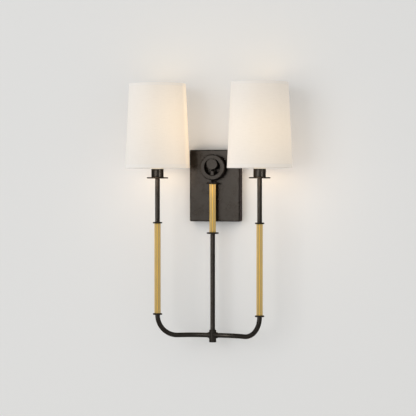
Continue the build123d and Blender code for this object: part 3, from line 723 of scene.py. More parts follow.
@dataclass(frozen=True)
class Thread:
    """A helical thread: the rise of one turn, how deep its roots are, and how many rows a turn takes."""

    pitch: float
    depth: float
    rows: int

    def flank(self, radius: float, low: float, high: float) -> np.ndarray:
        """The rows of a profile that the thread is cut into, from low to high."""
        height = np.arange(low, high, self.pitch / self.rows)
        return np.column_stack([np.full(len(height), radius), height])

    def cut(self, radius: float, low: float, high: float) -> Ripple:
        """The cut: -depth (1 - cos(2 pi h / pitch - a)) / 2, fading out over the last pitch at either end.

        Args:
            radius: The radius that is cut. Other radii of the profile stay as they are.
            low: Where the thread starts.
            high: Where it ends.

        Returns:
            A ripple for turned().
        """

        def ripple(angle: np.ndarray, radii: np.ndarray, height: np.ndarray) -> np.ndarray:
            wave = 0.5 * (1.0 - np.cos(TURN * height / self.pitch - angle))
            fade = np.clip(np.minimum(height - low, high - height) / self.pitch, 0.0, 1.0)
            return np.where(np.abs(radii - radius) < 1e-6, -self.depth * wave * fade, 0.0)

        return ripple


NIPPLE_THREAD = Thread(0.94 * MM, 0.45 * MM, 7)
SOCKET_THREAD = Thread(2.2 * MM, 0.7 * MM, 9)
BASE_THREAD = Thread(2.54 * MM, 0.55 * MM, 10)


def linked(name: str, data: bpy.types.ID) -> bpy.types.Object:
    """A new object of the scene, at the origin."""
    thing = bpy.data.objects.new(name, data)
    bpy.context.scene.collection.objects.link(thing)
    return thing


def grid_piece(
    name: str,
    points: np.ndarray,
    closed: bool = True,
    uv: np.ndarray | None = None,
    values: dict[str, np.ndarray] | None = None,
    crease: float = 38.0,
) -> bpy.types.Object:
    """Makes a mesh object from a grid of points.

    Args:
        name: The piece's name.
        points: Rows by columns by 3.
        closed: Whether the last row joins the first, and the last column too.
        uv: Rows by columns by 2, for a UV map.
        values: Rows by columns, for each value that the mesh carries.
        crease: The angle in degrees past which an edge is sharp.

    Returns:
        The object, at the origin, with its faces outwards if the grid closes.
    """
    rows, columns = points.shape[:2]
    i = np.arange(rows if closed else rows - 1)[:, None]
    j = np.arange(columns if closed else columns - 1)[None, :]
    i_next, j_next = (i + 1) % rows, (j + 1) % columns
    corners = (i * columns + j, i * columns + j_next, i_next * columns + j_next, i_next * columns + j)
    quads = np.stack(np.broadcast_arrays(*corners), axis=-1).reshape(-1, 4)
    flat = points.reshape(-1, 3)
    a, b, c, d = (flat[quads[:, k]] for k in range(4))
    volume = np.einsum("ij,ij->", a, np.cross(b, c)) + np.einsum("ij,ij->", a, np.cross(c, d))
    if closed and volume < 0:
        quads = quads[:, ::-1]
    mesh = bpy.data.meshes.new(name)
    mesh.vertices.add(len(flat))
    mesh.vertices.foreach_set("co", flat.astype(np.float32).ravel())
    mesh.loops.add(quads.size)
    mesh.loops.foreach_set("vertex_index", quads.astype(np.int32).ravel())
    mesh.polygons.add(len(quads))
    mesh.polygons.foreach_set("loop_start", np.arange(0, quads.size, 4, dtype=np.int32))
    mesh.update(calc_edges=True)
    if uv is not None:
        layer = mesh.uv_layers.new(name="UVMap")
        layer.data.foreach_set("uv", uv.reshape(-1, 2)[quads.ravel()].astype(np.float32).ravel())
    for key, value in (values or {}).items():
        carried = mesh.attributes.new(key, "FLOAT", "POINT")
        carried.data.foreach_set("value", value.astype(np.float32).ravel())
    return settled(name, mesh, crease)


def settled(name: str, mesh: bpy.types.Mesh, crease: float) -> bpy.types.Object:
    """Merges a mesh's doubles and smooths it.

    Args:
        name: The piece's name.
        mesh: The mesh, which is changed.
        crease: The angle in degrees past which an edge stays sharp.

    Returns:
        The mesh as an object of the scene.
    """
    work = bmesh.new()
    work.from_mesh(mesh)
    bmesh.ops.remove_doubles(work, verts=work.verts, dist=1e-7)
    bmesh.ops.dissolve_degenerate(work, edges=work.edges, dist=1e-8)
    work.to_mesh(mesh)
    work.free()
    mesh.validate()
    mesh.shade_smooth()
    mesh.set_sharp_from_angle(angle=math.radians(crease))
    return linked(name, mesh)


def softened(node: str, width: float, crease: float = 30.0) -> bpy.types.Object:
    """A copy of a fixed part with its edges broken, as a deburred or lacquered part has them.

    Args:
        node: The fixed part.
        width: How wide the broken edges are.
        crease: The angle in degrees past which an edge is broken.

    Returns:
        The new piece, which still has to replace its node.
    """
    mesh = frame["nodes"][node].data.copy()
    mesh.materials.clear()
    for layer in list(mesh.uv_layers):
        mesh.uv_layers.remove(layer)
    if mesh.has_custom_normals:
        mesh.attributes.remove(mesh.attributes["custom_normal"])
    work = bmesh.new()
    work.from_mesh(mesh)
    bmesh.ops.remove_doubles(work, verts=work.verts, dist=2e-6)
    bmesh.ops.dissolve_limit(work, angle_limit=math.radians(0.6), verts=work.verts, edges=work.edges)
    bmesh.ops.recalc_face_normals(work, faces=work.faces)
    work.to_mesh(mesh)
    work.free()
    piece = settled(node + "_dressed", mesh, crease)
    bevel = piece.modifiers.new("broken edges", "BEVEL")
    bevel.width = width
    bevel.segments = 2
    bevel.limit_method = "ANGLE"
    bevel.angle_limit = math.radians(crease)
    bevel.harden_normals = True
    return piece


# ---------------------------------------------------------------- sub-assemblies


@dataclass
class SubAssembly:
    """What every sub-assembly shares. Its methods take the names of nodes without their side."""

    palette: Palette
    side: Side

    def node(self, name: str) -> str:
        """The full name of one of this side's nodes or pieces."""
        return self.side.value + name

    def seat(self, name: str) -> Seat:
        """The seat of one of this side's nodes."""
        return Seat.of(self.node(name))

    def place(
        self,
        piece: bpy.types.Object,
        slot: Slot,
        *names: str,
        body: str = "root",
        material: bpy.types.Material | None = None,
    ) -> None:
        """Gives a new piece its finish and its body.

        Args:
            piece: The piece.
            slot: The record's slot that its finish comes from.
            *names: The fixed parts that it stands for.
            body: The body that it rides on.
            material: Its own material, where it doesn't share the slot's.
        """
        nodes = [self.node(name) for name in names]
        piece.data.materials.clear()
        piece.data.materials.append(material or self.palette[slot])
        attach(piece, body)
        if nodes:
            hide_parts(*nodes)
        faces = len(piece.data.polygons)
        log.info("%-30s %-12s %6d faces, for %s", piece.name, slot.value, faces, nodes or "itself")

    def dress(self, slot: Slot, *names: str) -> None:
        """Gives fixed parts that stay in view the slot's finish."""
        for node in map(self.node, names):
            part = frame["nodes"][node]
            part.data.materials.clear()
            part.data.materials.append(self.palette[slot])
            log.info("%-30s %-12s fixed part", node, slot.value)

    def soften(self, slot: Slot, width: float, *names: str) -> None:
        """Swaps fixed parts for copies with broken edges of this width."""
        for name in names:
            self.place(softened(self.node(name), width), slot, name)

    def lathe(
        self,
        piece: str,
        name: str,
        slot: Slot,
        profile: np.ndarray,
        columns: int = 96,
        ripple: Ripple | None = None,
        crease: float = 38.0,
    ) -> None:
        """Turns a profile about a fixed part's axis and swaps it for the part.

        Args:
            piece: The new piece's name, without its side.
            name: The fixed part.
            slot: The slot of its finish.
            profile: Rows of radius and height.
            columns: How many steps the full turn has.
            ripple: What to add to the radius.
            crease: The angle in degrees past which an edge is sharp.
        """
        seat = self.seat(name)
        points = turned(profile, columns, ripple) + np.array([seat.x, seat.y, 0.0])
        self.place(grid_piece(self.node(piece), points, crease=crease), slot, name)

    def nipple(self, name: str, slot: Slot, bore: float = 2.5 * MM, edge: float = 0.5 * MM) -> None:
        """Swaps a plain nipple for one with its thread and broken ends.

        Args:
            name: The fixed nipple.
            slot: The slot of its finish.
            bore: The radius of its bore.
            edge: How wide its broken ends are.
        """
        seat = self.seat(name)
        out, low, high = seat.radius, seat.low, seat.high
        flank = NIPPLE_THREAD.flank(out, low + edge, high - edge)
        end = [(out, high - edge), (out - edge, high), (bore, high), (bore, low)]
        profile = np.concatenate([[(out - edge, low)], flank, end])
        self.lathe(name + "_thread", name, slot, profile, 40, NIPPLE_THREAD.cut(out, low, high))

    def reeded(self, name: str, count: int = 18, depth: float = 0.8 * MM, end: float = 0.7 * MM) -> None:
        """Swaps a sleeve for one with full reeds, rounded ends and the values that its finish reads.

        A reed is a circle of radius q about a centre at distance c from the axis, so the outside is at
        c cos f + sqrt(q^2 - c^2 sin^2 f), where f is the angle from the nearest reed's centre. Neighbours
        overlap by a fiftieth.

        Args:
            name: The fixed sleeve.
            count: How many reeds it has.
            depth: How deep the grooves are.
            end: How far the reeds round off at either end.
        """
        seat = self.seat(name)
        bore = Seat.of("stem_tube").radius + FIT
        reed = (seat.radius - depth) * math.sin(math.pi / count) * 1.02
        distance = seat.radius - reed
        columns, gap, length = count * 14, TURN / count, seat.high - seat.low
        angle = np.linspace(0.0, TURN, columns, endpoint=False)
        nearest = np.round(angle / gap)
        off = angle - nearest * gap
        across = distance * np.cos(off) + np.sqrt(np.maximum(reed**2 - (distance * np.sin(off)) ** 2, 0.0))
        rise = np.concatenate([np.linspace(0.0, end, 5), np.linspace(length - end, length, 5)])
        near = np.clip(1.0 - np.minimum(rise, length - rise) / end, 0.0, 1.0)
        inset = end * (1.0 - np.sqrt(1.0 - near**2))
        outside = np.maximum(across[None, :] - inset[:, None], bore + 0.2 * MM)
        radius = np.concatenate([outside, np.full((2, columns), bore)])
        height = np.concatenate([seat.low + rise, [seat.high, seat.low]])[:, None] * np.ones(columns)
        points = np.stack(
            [seat.x + radius * np.cos(angle), seat.y + radius * np.sin(angle), height], axis=-1
        )
        tones = np.random.default_rng(REED_SEED).random(count)
        values = {
            "reed_height": (across - across.min()) / (across.max() - across.min()),
            "reed_tone": tones[nearest.astype(int) % count],
        }
        values = {key: np.broadcast_to(value, radius.shape) for key, value in values.items()}
        self.place(grid_piece(self.node(name) + "_reeds", points, values=values), Slot.BRASS, name)


@dataclass
class WallSide(SubAssembly):
    """The plate on the wall with its strap and screws."""

    edge: float = 0.3 * MM

    def build(self) -> None:
        """Dresses the wall side."""
        self.soften(Slot.BRONZE, self.edge, "backplate")
        self.soften(Slot.ZINC, self.edge, "mounting_bracket", "peg_lock_nut")
        self.soften(Slot.GREEN, self.edge, "ground_screw")
        self.dress(Slot.BRONZE, "canopy_set_screws")


@dataclass
class RingAndStem(SubAssembly):
    """The peg, the ring on it, and the stem down to the hub."""

    nut_edge: float = 0.25 * MM

    def build(self) -> None:
        """Dresses the centre line."""
        self.dress(Slot.BRONZE, "peg", "hanging_ring", "stem_tube", "stem_upper_collar", "stem_lower_collar")
        self.dress(Slot.BRONZE, "hub", "hub_cap")
        self.soften(Slot.BRONZE, self.nut_edge, "ring_nut")
        self.nipple("stem_nipple", Slot.BRONZE)
        self.reeded("stem_sleeve")


@dataclass
class Arm(SubAssembly):
    """One arm with its sleeve and the stack of parts that holds the bulb."""

    nut_edge: float = 0.2 * MM
    nipple_hole: float = 4.05 * MM
    cup_wall: float = 1.5 * MM
    cup_floor: float = 2.0 * MM
    cup_gap: float = 0.7 * MM
    nut_ring: float = 4.4 * MM
    nut_notches: int = 24
    nut_notch_depth: float = 0.6 * MM
    ring_gap: float = 0.3 * MM
    ring_thickness: float = 1.6 * MM
    glass_wall: float = 0.9 * MM
    glass_belly_share: float = 0.355
    glass_tip_radius: float = 3.0 * MM

    def build(self) -> None:
        """Dresses one arm from the hub to the bulb."""
        self.dress(Slot.BRONZE, "arm_tube", "arm_lower_collar", "arm_upper_collar", "bobeche")
        self.dress(Slot.SHELL, "socket_shell", "socket_contact")
        self.soften(Slot.ZINC, self.nut_edge, "socket_nut")
        self.reeded("arm_sleeve")
        self.nipple("socket_nipple", Slot.ZINC)
        self._cup()
        self._socket()
        self._shade_nut()
        self._bulb_base()
        self._bulb_glass()

    def _cup(self) -> None:
        """A spun cup with a rolled lip and a soft foot."""
        cup, hole = self.seat("socket_cup"), self.nipple_hole
        out, inner, floor = cup.radius, cup.radius - self.cup_wall, cup.low + self.cup_floor
        corners = [(hole, cup.low), (out, cup.low), (out, cup.high), (inner, cup.high), (inner, floor)]
        radii = [0.2 * MM, 0.8 * MM, 0.6 * MM, 0.6 * MM, 1.5 * MM, 0.2 * MM]
        self.lathe("cup", "socket_cup", Slot.BRONZE, rounded(corners + [(hole, floor)], radii, 5))

    def _socket(self) -> None:
        """The moulded lampholder: a flared foot, a shoulder, a coarse outer thread and the bulb's well.

        Of the rounded outline up to the barrel, the points kept are those low down and those outside the
        barrel. That also drops the foot's upper corner, so the foot flares straight from its rim to the
        shoulder and passes through the cup's wall, where the fixed part is straight. It's a known flaw.
        """
        socket, nut, hole = self.seat("socket"), self.seat("shade_nut"), self.nipple_hole
        low, high, shoulder = socket.low, socket.high, socket.radius
        foot = self.seat("socket_cup").radius - self.cup_wall - self.cup_gap
        barrel = nut.radius - self.nut_ring - FIT
        well = self.seat("socket_shell").radius + FIT
        top = nut.low - self.ring_gap - self.ring_thickness - self.ring_gap
        floor = self.seat("socket_contact").low
        nipple_top, wire, lip = self.seat("socket_nipple").high + FIT, 1.0 * MM, 0.8 * MM
        outline = [(hole, low), (foot, low), (foot, top - 4.4 * MM), (shoulder, top - 2.4 * MM)]
        outline += [(shoulder, top), (barrel, top), (0.0, top)]
        lower = rounded(outline, 0.5 * MM)
        low_down = lower[:, 1] < self.seat("shade_spider").high - 8 * MM
        lower = lower[(lower[:, 0] > barrel - 0.1 * MM) | low_down]
        thread = SOCKET_THREAD.flank(barrel, top + 0.2 * MM, high - lip)
        mouth = [(barrel, high - lip), (barrel - lip, high)]
        mouth += [(well + 0.3 * MM, high), (well, high - 0.3 * MM)]
        inner = [(well, floor), (wire, floor), (wire, nipple_top)]
        inner += [(hole, nipple_top), (hole, low + 0.2 * MM)]
        profile = np.concatenate([lower, thread, mouth, inner])
        cut = SOCKET_THREAD.cut(barrel, top, high - lip)
        self.lathe("lampholder", "socket", Slot.PHENOLIC, profile, ripple=cut)

    def _shade_nut(self) -> None:
        """The ring nut: round notches are pressed into its rim all the way round."""
        nut = self.seat("shade_nut")
        bore, wall = nut.radius - self.nut_ring, 1.5 * MM
        depth, count = self.nut_notch_depth, self.nut_notches
        corners = [(bore, nut.low), (nut.radius, nut.low), (nut.radius, nut.high), (bore, nut.high)]

        def notch(angle: np.ndarray, radii: np.ndarray, height: np.ndarray) -> np.ndarray:
            """A notch is -depth cos^2(count a) where that cosine is positive, and fades out inwards."""
            wave = np.clip(np.cos(count * angle), 0.0, 1.0) ** 2
            return -depth * wave * np.clip((radii - bore - wall) / wall, 0.0, 1.0)

        profile = rounded(corners, 0.6 * MM)
        self.lathe("shade_ring_nut", "shade_nut", Slot.PHENOLIC, profile, count * 12, notch)

    def _bulb_base(self) -> None:
        """The screw cap with its rolled thread, skirt and foot contact."""
        base, tip = self.seat("bulb_base"), 2.0 * MM
        low, high, skirt = base.low, base.high, base.radius
        barrel, start, end = skirt - BASE_THREAD.depth, low + 3.2 * MM, high - 2.6 * MM
        foot = [(0.0, low), (tip * 0.7, low), (tip, low + 0.6 * MM), (tip, low + 1.5 * MM)]
        foot += [(barrel - 1.6 * MM, low + 1.6 * MM), (barrel - 0.4 * MM, low + 2.4 * MM)]
        cap = [(barrel, end), (skirt, high - 2.0 * MM), (skirt, high - 0.2 * MM)]
        cap += [(skirt - 0.3 * MM, high), (0.0, high)]
        profile = np.concatenate([foot, BASE_THREAD.flank(barrel, start, end), cap])
        cut = BASE_THREAD.cut(barrel, start, end)
        self.lathe("bulb_cap", "bulb_base", Slot.BULB_METAL, profile, 72, cut)

    def _bulb_glass(self) -> None:
        """The torpedo envelope.

        Two equal arcs join the neck to the belly, a long arc runs from the belly to the tip's circle, and a
        point of an arc is (centre + radius cos t, centre + radius sin t).
        """
        glass = self.seat("bulb_glass")
        neck_out = self.seat("bulb_base").radius - BASE_THREAD.depth
        height = glass.high - glass.low
        belly_z, tip_z = self.glass_belly_share * height, height - self.glass_tip_radius

        def arc(r: float, z: float, size: float, first: float, last: float, steps: int) -> np.ndarray:
            """Points of an arc of this size about (r, z), between two angles."""
            t = np.linspace(first, last, steps)
            return np.column_stack([r + size * np.cos(t), z + size * np.sin(t)])

        def envelope(inset: float) -> np.ndarray:
            """The outline from neck to tip, this far inside the outer one."""
            neck, belly, tip = neck_out - inset, glass.radius - inset, self.glass_tip_radius - inset
            turn = 2 * math.atan2(belly - neck, belly_z)
            shoulder = belly_z / (2 * math.sin(turn))
            rise = tip_z - belly_z
            flank = (belly**2 + rise**2 - tip**2) / (2 * (belly - tip))
            lean = math.atan2(rise, flank - belly)
            arcs = [
                arc(neck + shoulder, 0.0, shoulder, math.pi, math.pi - turn, 12),
                arc(belly - shoulder, belly_z, shoulder, -turn, 0.0, 12)[1:],
                arc(belly - flank, belly_z, flank, 0.0, lean, 26)[1:],
                arc(0.0, tip_z, tip, lean, math.pi / 2, 8)[1:],
            ]
            return np.concatenate(arcs)

        profile = np.concatenate([envelope(0.0), envelope(self.glass_wall)[::-1]])
        profile = np.column_stack([np.maximum(profile[:, 0], 0.0), profile[:, 1] + glass.low])
        self.lathe("bulb_envelope", "bulb_glass", Slot.BULB_GLASS, profile, 72, crease=60.0)


@dataclass
class Shade(SubAssembly):
    """One tapered shade: linen turned in at both rims and lapped at the back, on a white liner."""

    glow: Glow
    cloth: float = 0.45 * MM
    liner: float = 0.35 * MM
    fold_gap: float = 0.3 * MM
    liner_gap: float = 0.10 * MM
    liner_inset: float = 1.2 * MM
    hem: float = 9.0 * MM
    hem_rows: int = 5
    lap: float = 9.0 * MM
    lap_lift: float = 1.15
    rim: float = 0.7 * MM
    rim_rows: int = 7
    columns: int = 280
    liner_columns: int = 180
    side_rows: int = 56

    def build(self) -> None:
        """Makes the cloth and the liner, and dresses the wire frame."""
        self.body = self.node("shade")
        self.cone = Cone.of(self.body)
        self._linen()
        self._liner()
        self.dress(Slot.WIRE, "shade_spider", "shade_lower_hoop", "shade_top_hoop")

    def _path(self) -> tuple[np.ndarray, np.ndarray]:
        """The cloth's middle line in section, from one cut edge to the other.

        It runs down inside the lower hem, round the rim, up the side, round the top rim and down inside.

        Returns:
            Its radii and its heights.
        """
        cone, half = self.cone, (self.cloth + self.liner + self.fold_gap) / 2
        turn = np.linspace(-math.pi / 2, math.pi / 2, self.rim_rows)[1:-1]
        low, high = cone.foot.low + self.rim, cone.foot.high - self.rim
        z_in = cone.foot.low + np.linspace(self.hem, self.rim, self.hem_rows)
        z_side = np.linspace(low, high, self.side_rows)
        z_out = cone.foot.high - np.linspace(self.rim, self.hem, self.hem_rows)
        radii = [
            cone.radius(z_in) - 2 * half,
            cone.radius(low) - half + half * np.sin(turn),
            cone.radius(z_side),
            cone.radius(high) - half + half * np.sin(-turn),
            cone.radius(z_out) - 2 * half,
        ]
        heights = [z_in, low - self.rim * np.cos(turn), z_side, high + self.rim * np.cos(turn), z_out]
        return np.concatenate(radii) - self.cloth / 2, np.concatenate(heights)

    def _linen(self) -> None:
        """Carries the path round the shade.

        A point at angle a and path length s is at radius r(s) + lap step + slack, where the lap step lifts
        the last few millimetres over the first ones, and the slack is a sum of slow waves of at most 0.25 mm.
        """
        path_r, path_z = self._path()
        foot, mean = self.cone.foot, self.cone.mean
        angle = np.linspace(0.0, TURN + self.lap / mean, self.columns)
        step = self.cloth * self.lap_lift * (1 / (1 + np.exp(-(angle - TURN + 0.035) / 0.008)))
        slack = 0.10 * np.sin(3 * angle + 0.6) + 0.08 * np.sin(5 * angle + 2.1) + 0.05 * np.sin(9 * angle)
        wave = slack[None, :] * np.sin(np.pi * risen(path_z, foot.low, foot.high))[:, None]
        radius = path_r[:, None] + step[None, :] + wave * MM
        bearing = math.pi / 2 - self.lap / mean / 2 + angle
        x = foot.x + radius * np.cos(bearing)[None, :]
        y = foot.y + radius * np.sin(bearing)[None, :]
        z = np.repeat(path_z[:, None], self.columns, axis=1)
        length = np.concatenate([[0.0], np.cumsum(np.hypot(np.diff(path_r), np.diff(path_z)))])
        uv = np.stack(np.broadcast_arrays(angle[None, :] * mean, length[:, None]), axis=-1)
        cloth = grid_piece(self.body + "_linen", np.stack([x, y, z], axis=-1), closed=False, uv=uv)
        thickness = cloth.modifiers.new("thickness", "SOLIDIFY")
        thickness.thickness = self.cloth
        thickness.offset = 0.0
        material = Linen(self.cone, self.hem, self.glow).material(cloth.name)
        self.place(cloth, Slot.LINEN, "shade", body=self.body, material=material)
        self._declare(cloth, float(length[-1]))

    def _declare(self, cloth: bpy.types.Object, path: float) -> None:
        """Says what the cloth was cut to: a fan, which is the side laid flat, with its hems and lap.

        Args:
            cloth: The piece.
            path: How long the cloth is from one cut edge to the other.
        """
        foot, fall = self.cone.foot, self.cone.foot.radius - self.cone.top
        slant = math.hypot(fall, foot.high - foot.low)
        long_radius = slant * foot.radius / fall
        fan = TURN * foot.radius / long_radius
        width = 2 * long_radius * math.sin(fan / 2) + self.lap
        height = long_radius - (long_radius - slant) * math.cos(fan / 2) + path - slant
        area = (TURN * self.cone.mean + self.lap) * path
        hoops = [self.node("shade_lower_hoop"), self.node("shade_top_hoop")]
        size = (width / MM, height / MM, area)
        log.info("%s is cut from %.0f x %.0f mm, %.4f square metres", cloth.name, *size)

    def _liner(self) -> None:
        """The stiff white laminate behind the cloth, lying just inside it between the hems."""
        foot, out = self.cone.foot, self.cloth + self.liner_gap
        low, high = foot.low + self.liner_inset, foot.high - self.liner_inset
        low_out, high_out = float(self.cone.radius(low)) - out, float(self.cone.radius(high)) - out
        corners = [(low_out - self.liner, low), (low_out, low)]
        corners += [(high_out, high), (high_out - self.liner, high)]
        points = turned(np.array(corners), self.liner_columns) + np.array([foot.x, foot.y, 0.0])
        liner = grid_piece(self.body + "_liner", points)
        self.place(liner, Slot.LINEN, body=self.body, material=Liner(self.cone).material(liner.name))


# ---------------------------------------------------------------- studio


class Link(Enum):
    """Whether a lamp keeps to the pieces of its group or passes them over."""

    ONLY = "INCLUDE"
    NOT = "EXCLUDE"


@dataclass(frozen=True)
class Lamp:
    """A rectangular soft box that lights everything, or only the pieces that it lists."""

    name: str
    place: Point
    size: tuple[float, float]
    power: float
    colour: Colour = (1.0, 0.98, 0.95)
    lights: list[bpy.types.Object] | None = None
    aim: Point = (0.0, 0.0, -0.06)
    shadow: bool = True


@dataclass
class Studio:
    """A pale wall and floor, soft light, and the camera at the photograph's angle."""

    wall_size: float = 9.0
    wall_gap: float = 0.5 * MM
    wall_near: float = 30 * MM
    floor_z: float = -1.6
    wall: Colour = (0.76, 0.76, 0.75)
    floor: Colour = (0.88, 0.88, 0.86)
    sky: Colour = (1.0, 1.0, 1.0)
    sky_light: float = 0.75
    backdrop: Colour = (1.0, 0.995, 0.98)
    backdrop_light: float = 0.80
    bulb_power: float = 0.23
    bulb_rise: float = -0.10
    bulb_forward: float = 35 * MM
    bulb_size: float = 45 * MM
    bulb_colour: Colour = (1.0, 0.72, 0.50)
    camera_bearing: float = 14.773
    camera_distance: float = 3.73449
    camera_z: float = 6.2568 * MM
    camera_yaw: float = 0.00298
    camera_pitch: float = 0.01588
    focal_pixels: float = 1574.319
    picture_pixels: float = 416.0
    sensor: float = 36.0

    def build(self, bronze: bpy.types.Material) -> None:
        """Sets the stage.

        Args:
            bronze: The dark finish, which the card and the strips light by themselves.
        """
        scene = bpy.context.scene
        scene.view_settings.view_transform = "Standard"
        self._world(scene)
        half = self.wall_size / 2
        wall = self._plane("wall", Vector((0.0, self.wall_gap, 0.0)), Vector((0.0, 0.0, half)), self.wall)
        middle = Vector((0.0, self.wall_gap - half, self.floor_z))
        self._plane("floor", middle, Vector((0.0, half, 0.0)), self.floor)
        meshes = [thing for thing in scene.objects if thing.type == "MESH"]
        metal = [thing for thing in meshes if thing.data.materials[:1] == [bronze]]
        cups = [thing for thing in metal if "cup" in thing.name]
        tubes = [thing for thing in metal if "tube" in thing.name]
        cloth = [scene.objects[side.value + "shade_linen"] for side in ARMS]
        lamps = (
            Lamp("key", (-2.3, -4.6, 0.6), (3.0, 3.6), 56.0, (1.0, 0.995, 0.99)),
            Lamp("fill", (3.6, -2.4, 0.2), (2.2, 3.2), 9.5),
            Lamp("card", (-0.38, -3.65, 0.22), (0.35, 0.35), 20.0, (1.0, 0.985, 0.985), metal),
            Lamp(
                "wash",
                (0.03, -0.30, -0.05),
                (0.25, 0.25),
                0.080,
                lights=[wall],
                aim=(0.03, 0.0, -0.05),
                shadow=False,
            ),
            Lamp("flank", (-3.5, -1.0, 0.3), (1.2, 2.4), 28.0, (0.98, 1.0, 1.0), cloth, shadow=False),
            Lamp("left_strip", (-2.1, -3.9, 0.2), (0.25, 3.0), 80.0, (1.0, 0.98, 0.96), cups + tubes),
            Lamp("right_strip", (3.5, -2.3, 0.2), (0.25, 3.0), 130.0, lights=cups),
        )
        for lamp in lamps:
            self._soft_box(lamp)
        for side in ARMS:
            self._bulb(side)
        self._camera(scene)

    def _seen(self, graph: Graph) -> Sock:
        """1 for rays from the eye, from gloss and through glass, and 0 for the light's own."""
        path = graph.node("ShaderNodeLightPath").socket.node
        eye, gloss, glass = (path.outputs[f"Is {kind} Ray"] for kind in ("Camera", "Glossy", "Transmission"))
        return graph.maths("MINIMUM", Sock(graph, eye) + Sock(graph, gloss) + Sock(graph, glass), 1.0)

    def _world(self, scene: bpy.types.Scene) -> None:
        """An even pale sky, a little brighter to the eye than to the surfaces that it lights."""
        world = bpy.data.worlds.new("studio")
        world.use_nodes = True
        graph = Graph(world.node_tree)
        kind = "ShaderNodeBackground"
        lit = graph.node(kind, None, {"Color": self.sky, "Strength": self.sky_light})
        shown = graph.node(kind, None, {"Color": self.backdrop, "Strength": self.backdrop_light})
        mixed = graph.node("ShaderNodeMixShader", None, {0: self._seen(graph), 1: lit, 2: shown})
        graph.node("ShaderNodeOutputWorld", None, {"Surface": mixed})
        scene.world = world

    def _paint(self, name: str, colour: Colour) -> bpy.types.Material:
        """Matt paint, seen from its front only, so that it hides nothing from behind and lets the sky round.

        A reflection that meets it at once is let through too, so that metal against the wall isn't black.

        Args:
            name: The material's name.
            colour: The paint's colour.

        Returns:
            The material.
        """
        material, graph = new_material(name)
        behind = graph.node("ShaderNodeNewGeometry", output="Backfacing")
        reach = graph.node("ShaderNodeLightPath", output="Ray Length")
        shown = self._seen(graph) * (1.0 - behind) * reach.step(0.9 * self.wall_near, self.wall_near)
        matt = graph.node("ShaderNodeBsdfDiffuse", None, {"Color": colour})
        clear = graph.node("ShaderNodeBsdfTransparent")
        graph.surface(graph.node("ShaderNodeMixShader", None, {0: shown, 1: clear, 2: matt}))
        return material

    def _plane(self, name: str, middle: Vector, up: Vector, colour: Colour) -> bpy.types.Object:
        """One square stage face, seen from the side on which its corners run anticlockwise.

        Args:
            name: Its name.
            middle: Its middle.
            up: The way from its middle to its upper or further edge.
            colour: Its paint.

        Returns:
            The face.
        """
        right = Vector((self.wall_size / 2, 0.0, 0.0))
        corners = [middle - right - up, middle + right - up, middle + right + up, middle - right + up]
        mesh = bpy.data.meshes.new(name)
        mesh.from_pydata(corners, [], [(0, 1, 2, 3)])
        mesh.materials.append(self._paint(name + "_paint", colour))
        plane = linked(name, mesh)
        return plane

    def _soft_box(self, lamp: Lamp) -> None:
        """Hangs one soft box."""
        data = bpy.data.lights.new(lamp.name, "AREA")
        data.shape, data.use_shadow = "RECTANGLE", lamp.shadow
        data.energy, data.color = lamp.power, lamp.colour
        data.size, data.size_y = lamp.size
        thing = linked(lamp.name, data)
        thing.location = lamp.place
        thing.rotation_euler = (Vector(lamp.aim) - Vector(lamp.place)).to_track_quat("-Z", "Y").to_euler()
        thing.visible_camera = False
        if lamp.lights is not None:
            thing.light_linking.receiver_collection = self._group(lamp.name + "_lit", lamp.lights, Link.ONLY)

    def _bulb(self, side: Side) -> None:
        """The bulb's own light on the wall and the metal.

        Cloth lets it through, so this side's shade, bulb, lampholder and cup neither block it nor take light
        from it: the finishes of what glows hold that already.
        """
        words = ("shade", "bulb", "socket", "lampholder", "cup")
        own = [thing for thing in bpy.context.scene.objects if thing.name.startswith(side.value)]
        cleared = [thing for thing in own if any(word in thing.name for word in words)]
        shade = Seat.of(side.value + "shade")
        data = bpy.data.lights.new(side.value + "bulb_light", "POINT")
        data.energy, data.color, data.shadow_soft_size = self.bulb_power, self.bulb_colour, self.bulb_size
        thing = linked(data.name, data)
        height = shade.low + self.bulb_rise * (shade.high - shade.low)
        thing.location = (shade.x, shade.y - self.bulb_forward, height)
        thing.visible_camera = False
        group = self._group(side.value + "cleared", cleared, Link.NOT)
        thing.light_linking.blocker_collection = group
        thing.light_linking.receiver_collection = group

    def _group(self, name: str, things: list[bpy.types.Object], link: Link) -> bpy.types.Collection:
        """A light-linking collection.

        Args:
            name: The collection's name.
            things: The pieces in it.
            link: What the lamp does with them.

        Returns:
            The collection.
        """
        group = bpy.data.collections.new(name)
        for thing in things:
            group.objects.link(thing)
        for entry in group.collection_objects:
            entry.light_linking.link_state = link.value
        return group

    def _camera(self, scene: bpy.types.Scene) -> None:
        """The camera swings round the stem's axis by its bearing, and looks level but for a small pitch."""
        data = bpy.data.cameras.new("camera")
        data.sensor_width = self.sensor
        data.lens = self.focal_pixels / self.picture_pixels * self.sensor
        bearing = math.radians(self.camera_bearing)
        heading = bearing + self.camera_yaw
        level, fall = math.cos(self.camera_pitch), math.sin(self.camera_pitch)
        forward = Vector((-math.sin(heading) * level, math.cos(heading) * level, -fall))
        right = Vector((math.cos(heading), math.sin(heading), 0.0))
        up = right.cross(forward)
        turn = Matrix((right, up, -forward)).transposed().to_4x4()
        spot = Vector((math.sin(bearing), -math.cos(bearing), 0.0)) * self.camera_distance
        spot += Vector((0.0, Seat.of("stem_tube").y, self.camera_z))
        camera = linked("camera", data)
        camera.matrix_world = Matrix.Translation(spot) @ turn
        scene.camera = camera


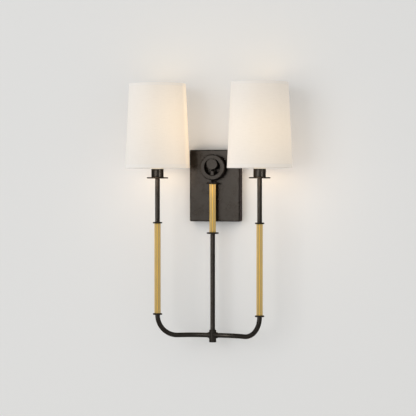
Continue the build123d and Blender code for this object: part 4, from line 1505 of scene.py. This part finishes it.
def main() -> None:
    """Dresses the light from the wall outwards, then sets the stage."""
    logging.basicConfig(level=logging.INFO, format="%(message)s")
    palette = Palette(Seat.of("left_bulb_glass"))
    WallSide(palette, Side.CENTRE).build()
    RingAndStem(palette, Side.CENTRE).build()
    glows = {
        Side.LEFT: Glow(bearing=95.0, share=0.64, middle=0.55, spread=0.54, ends=0.0, edge=0.33),
        Side.RIGHT: Glow(bearing=60.0, share=0.536, middle=0.42, spread=0.40, ends=0.15, edge=0.0),
    }
    for side, glow in glows.items():
        Arm(palette, side).build()
        Shade(palette, side, glow).build()
    Studio().build(palette[Slot.BRONZE])


if __name__ == "__main__":
    main()
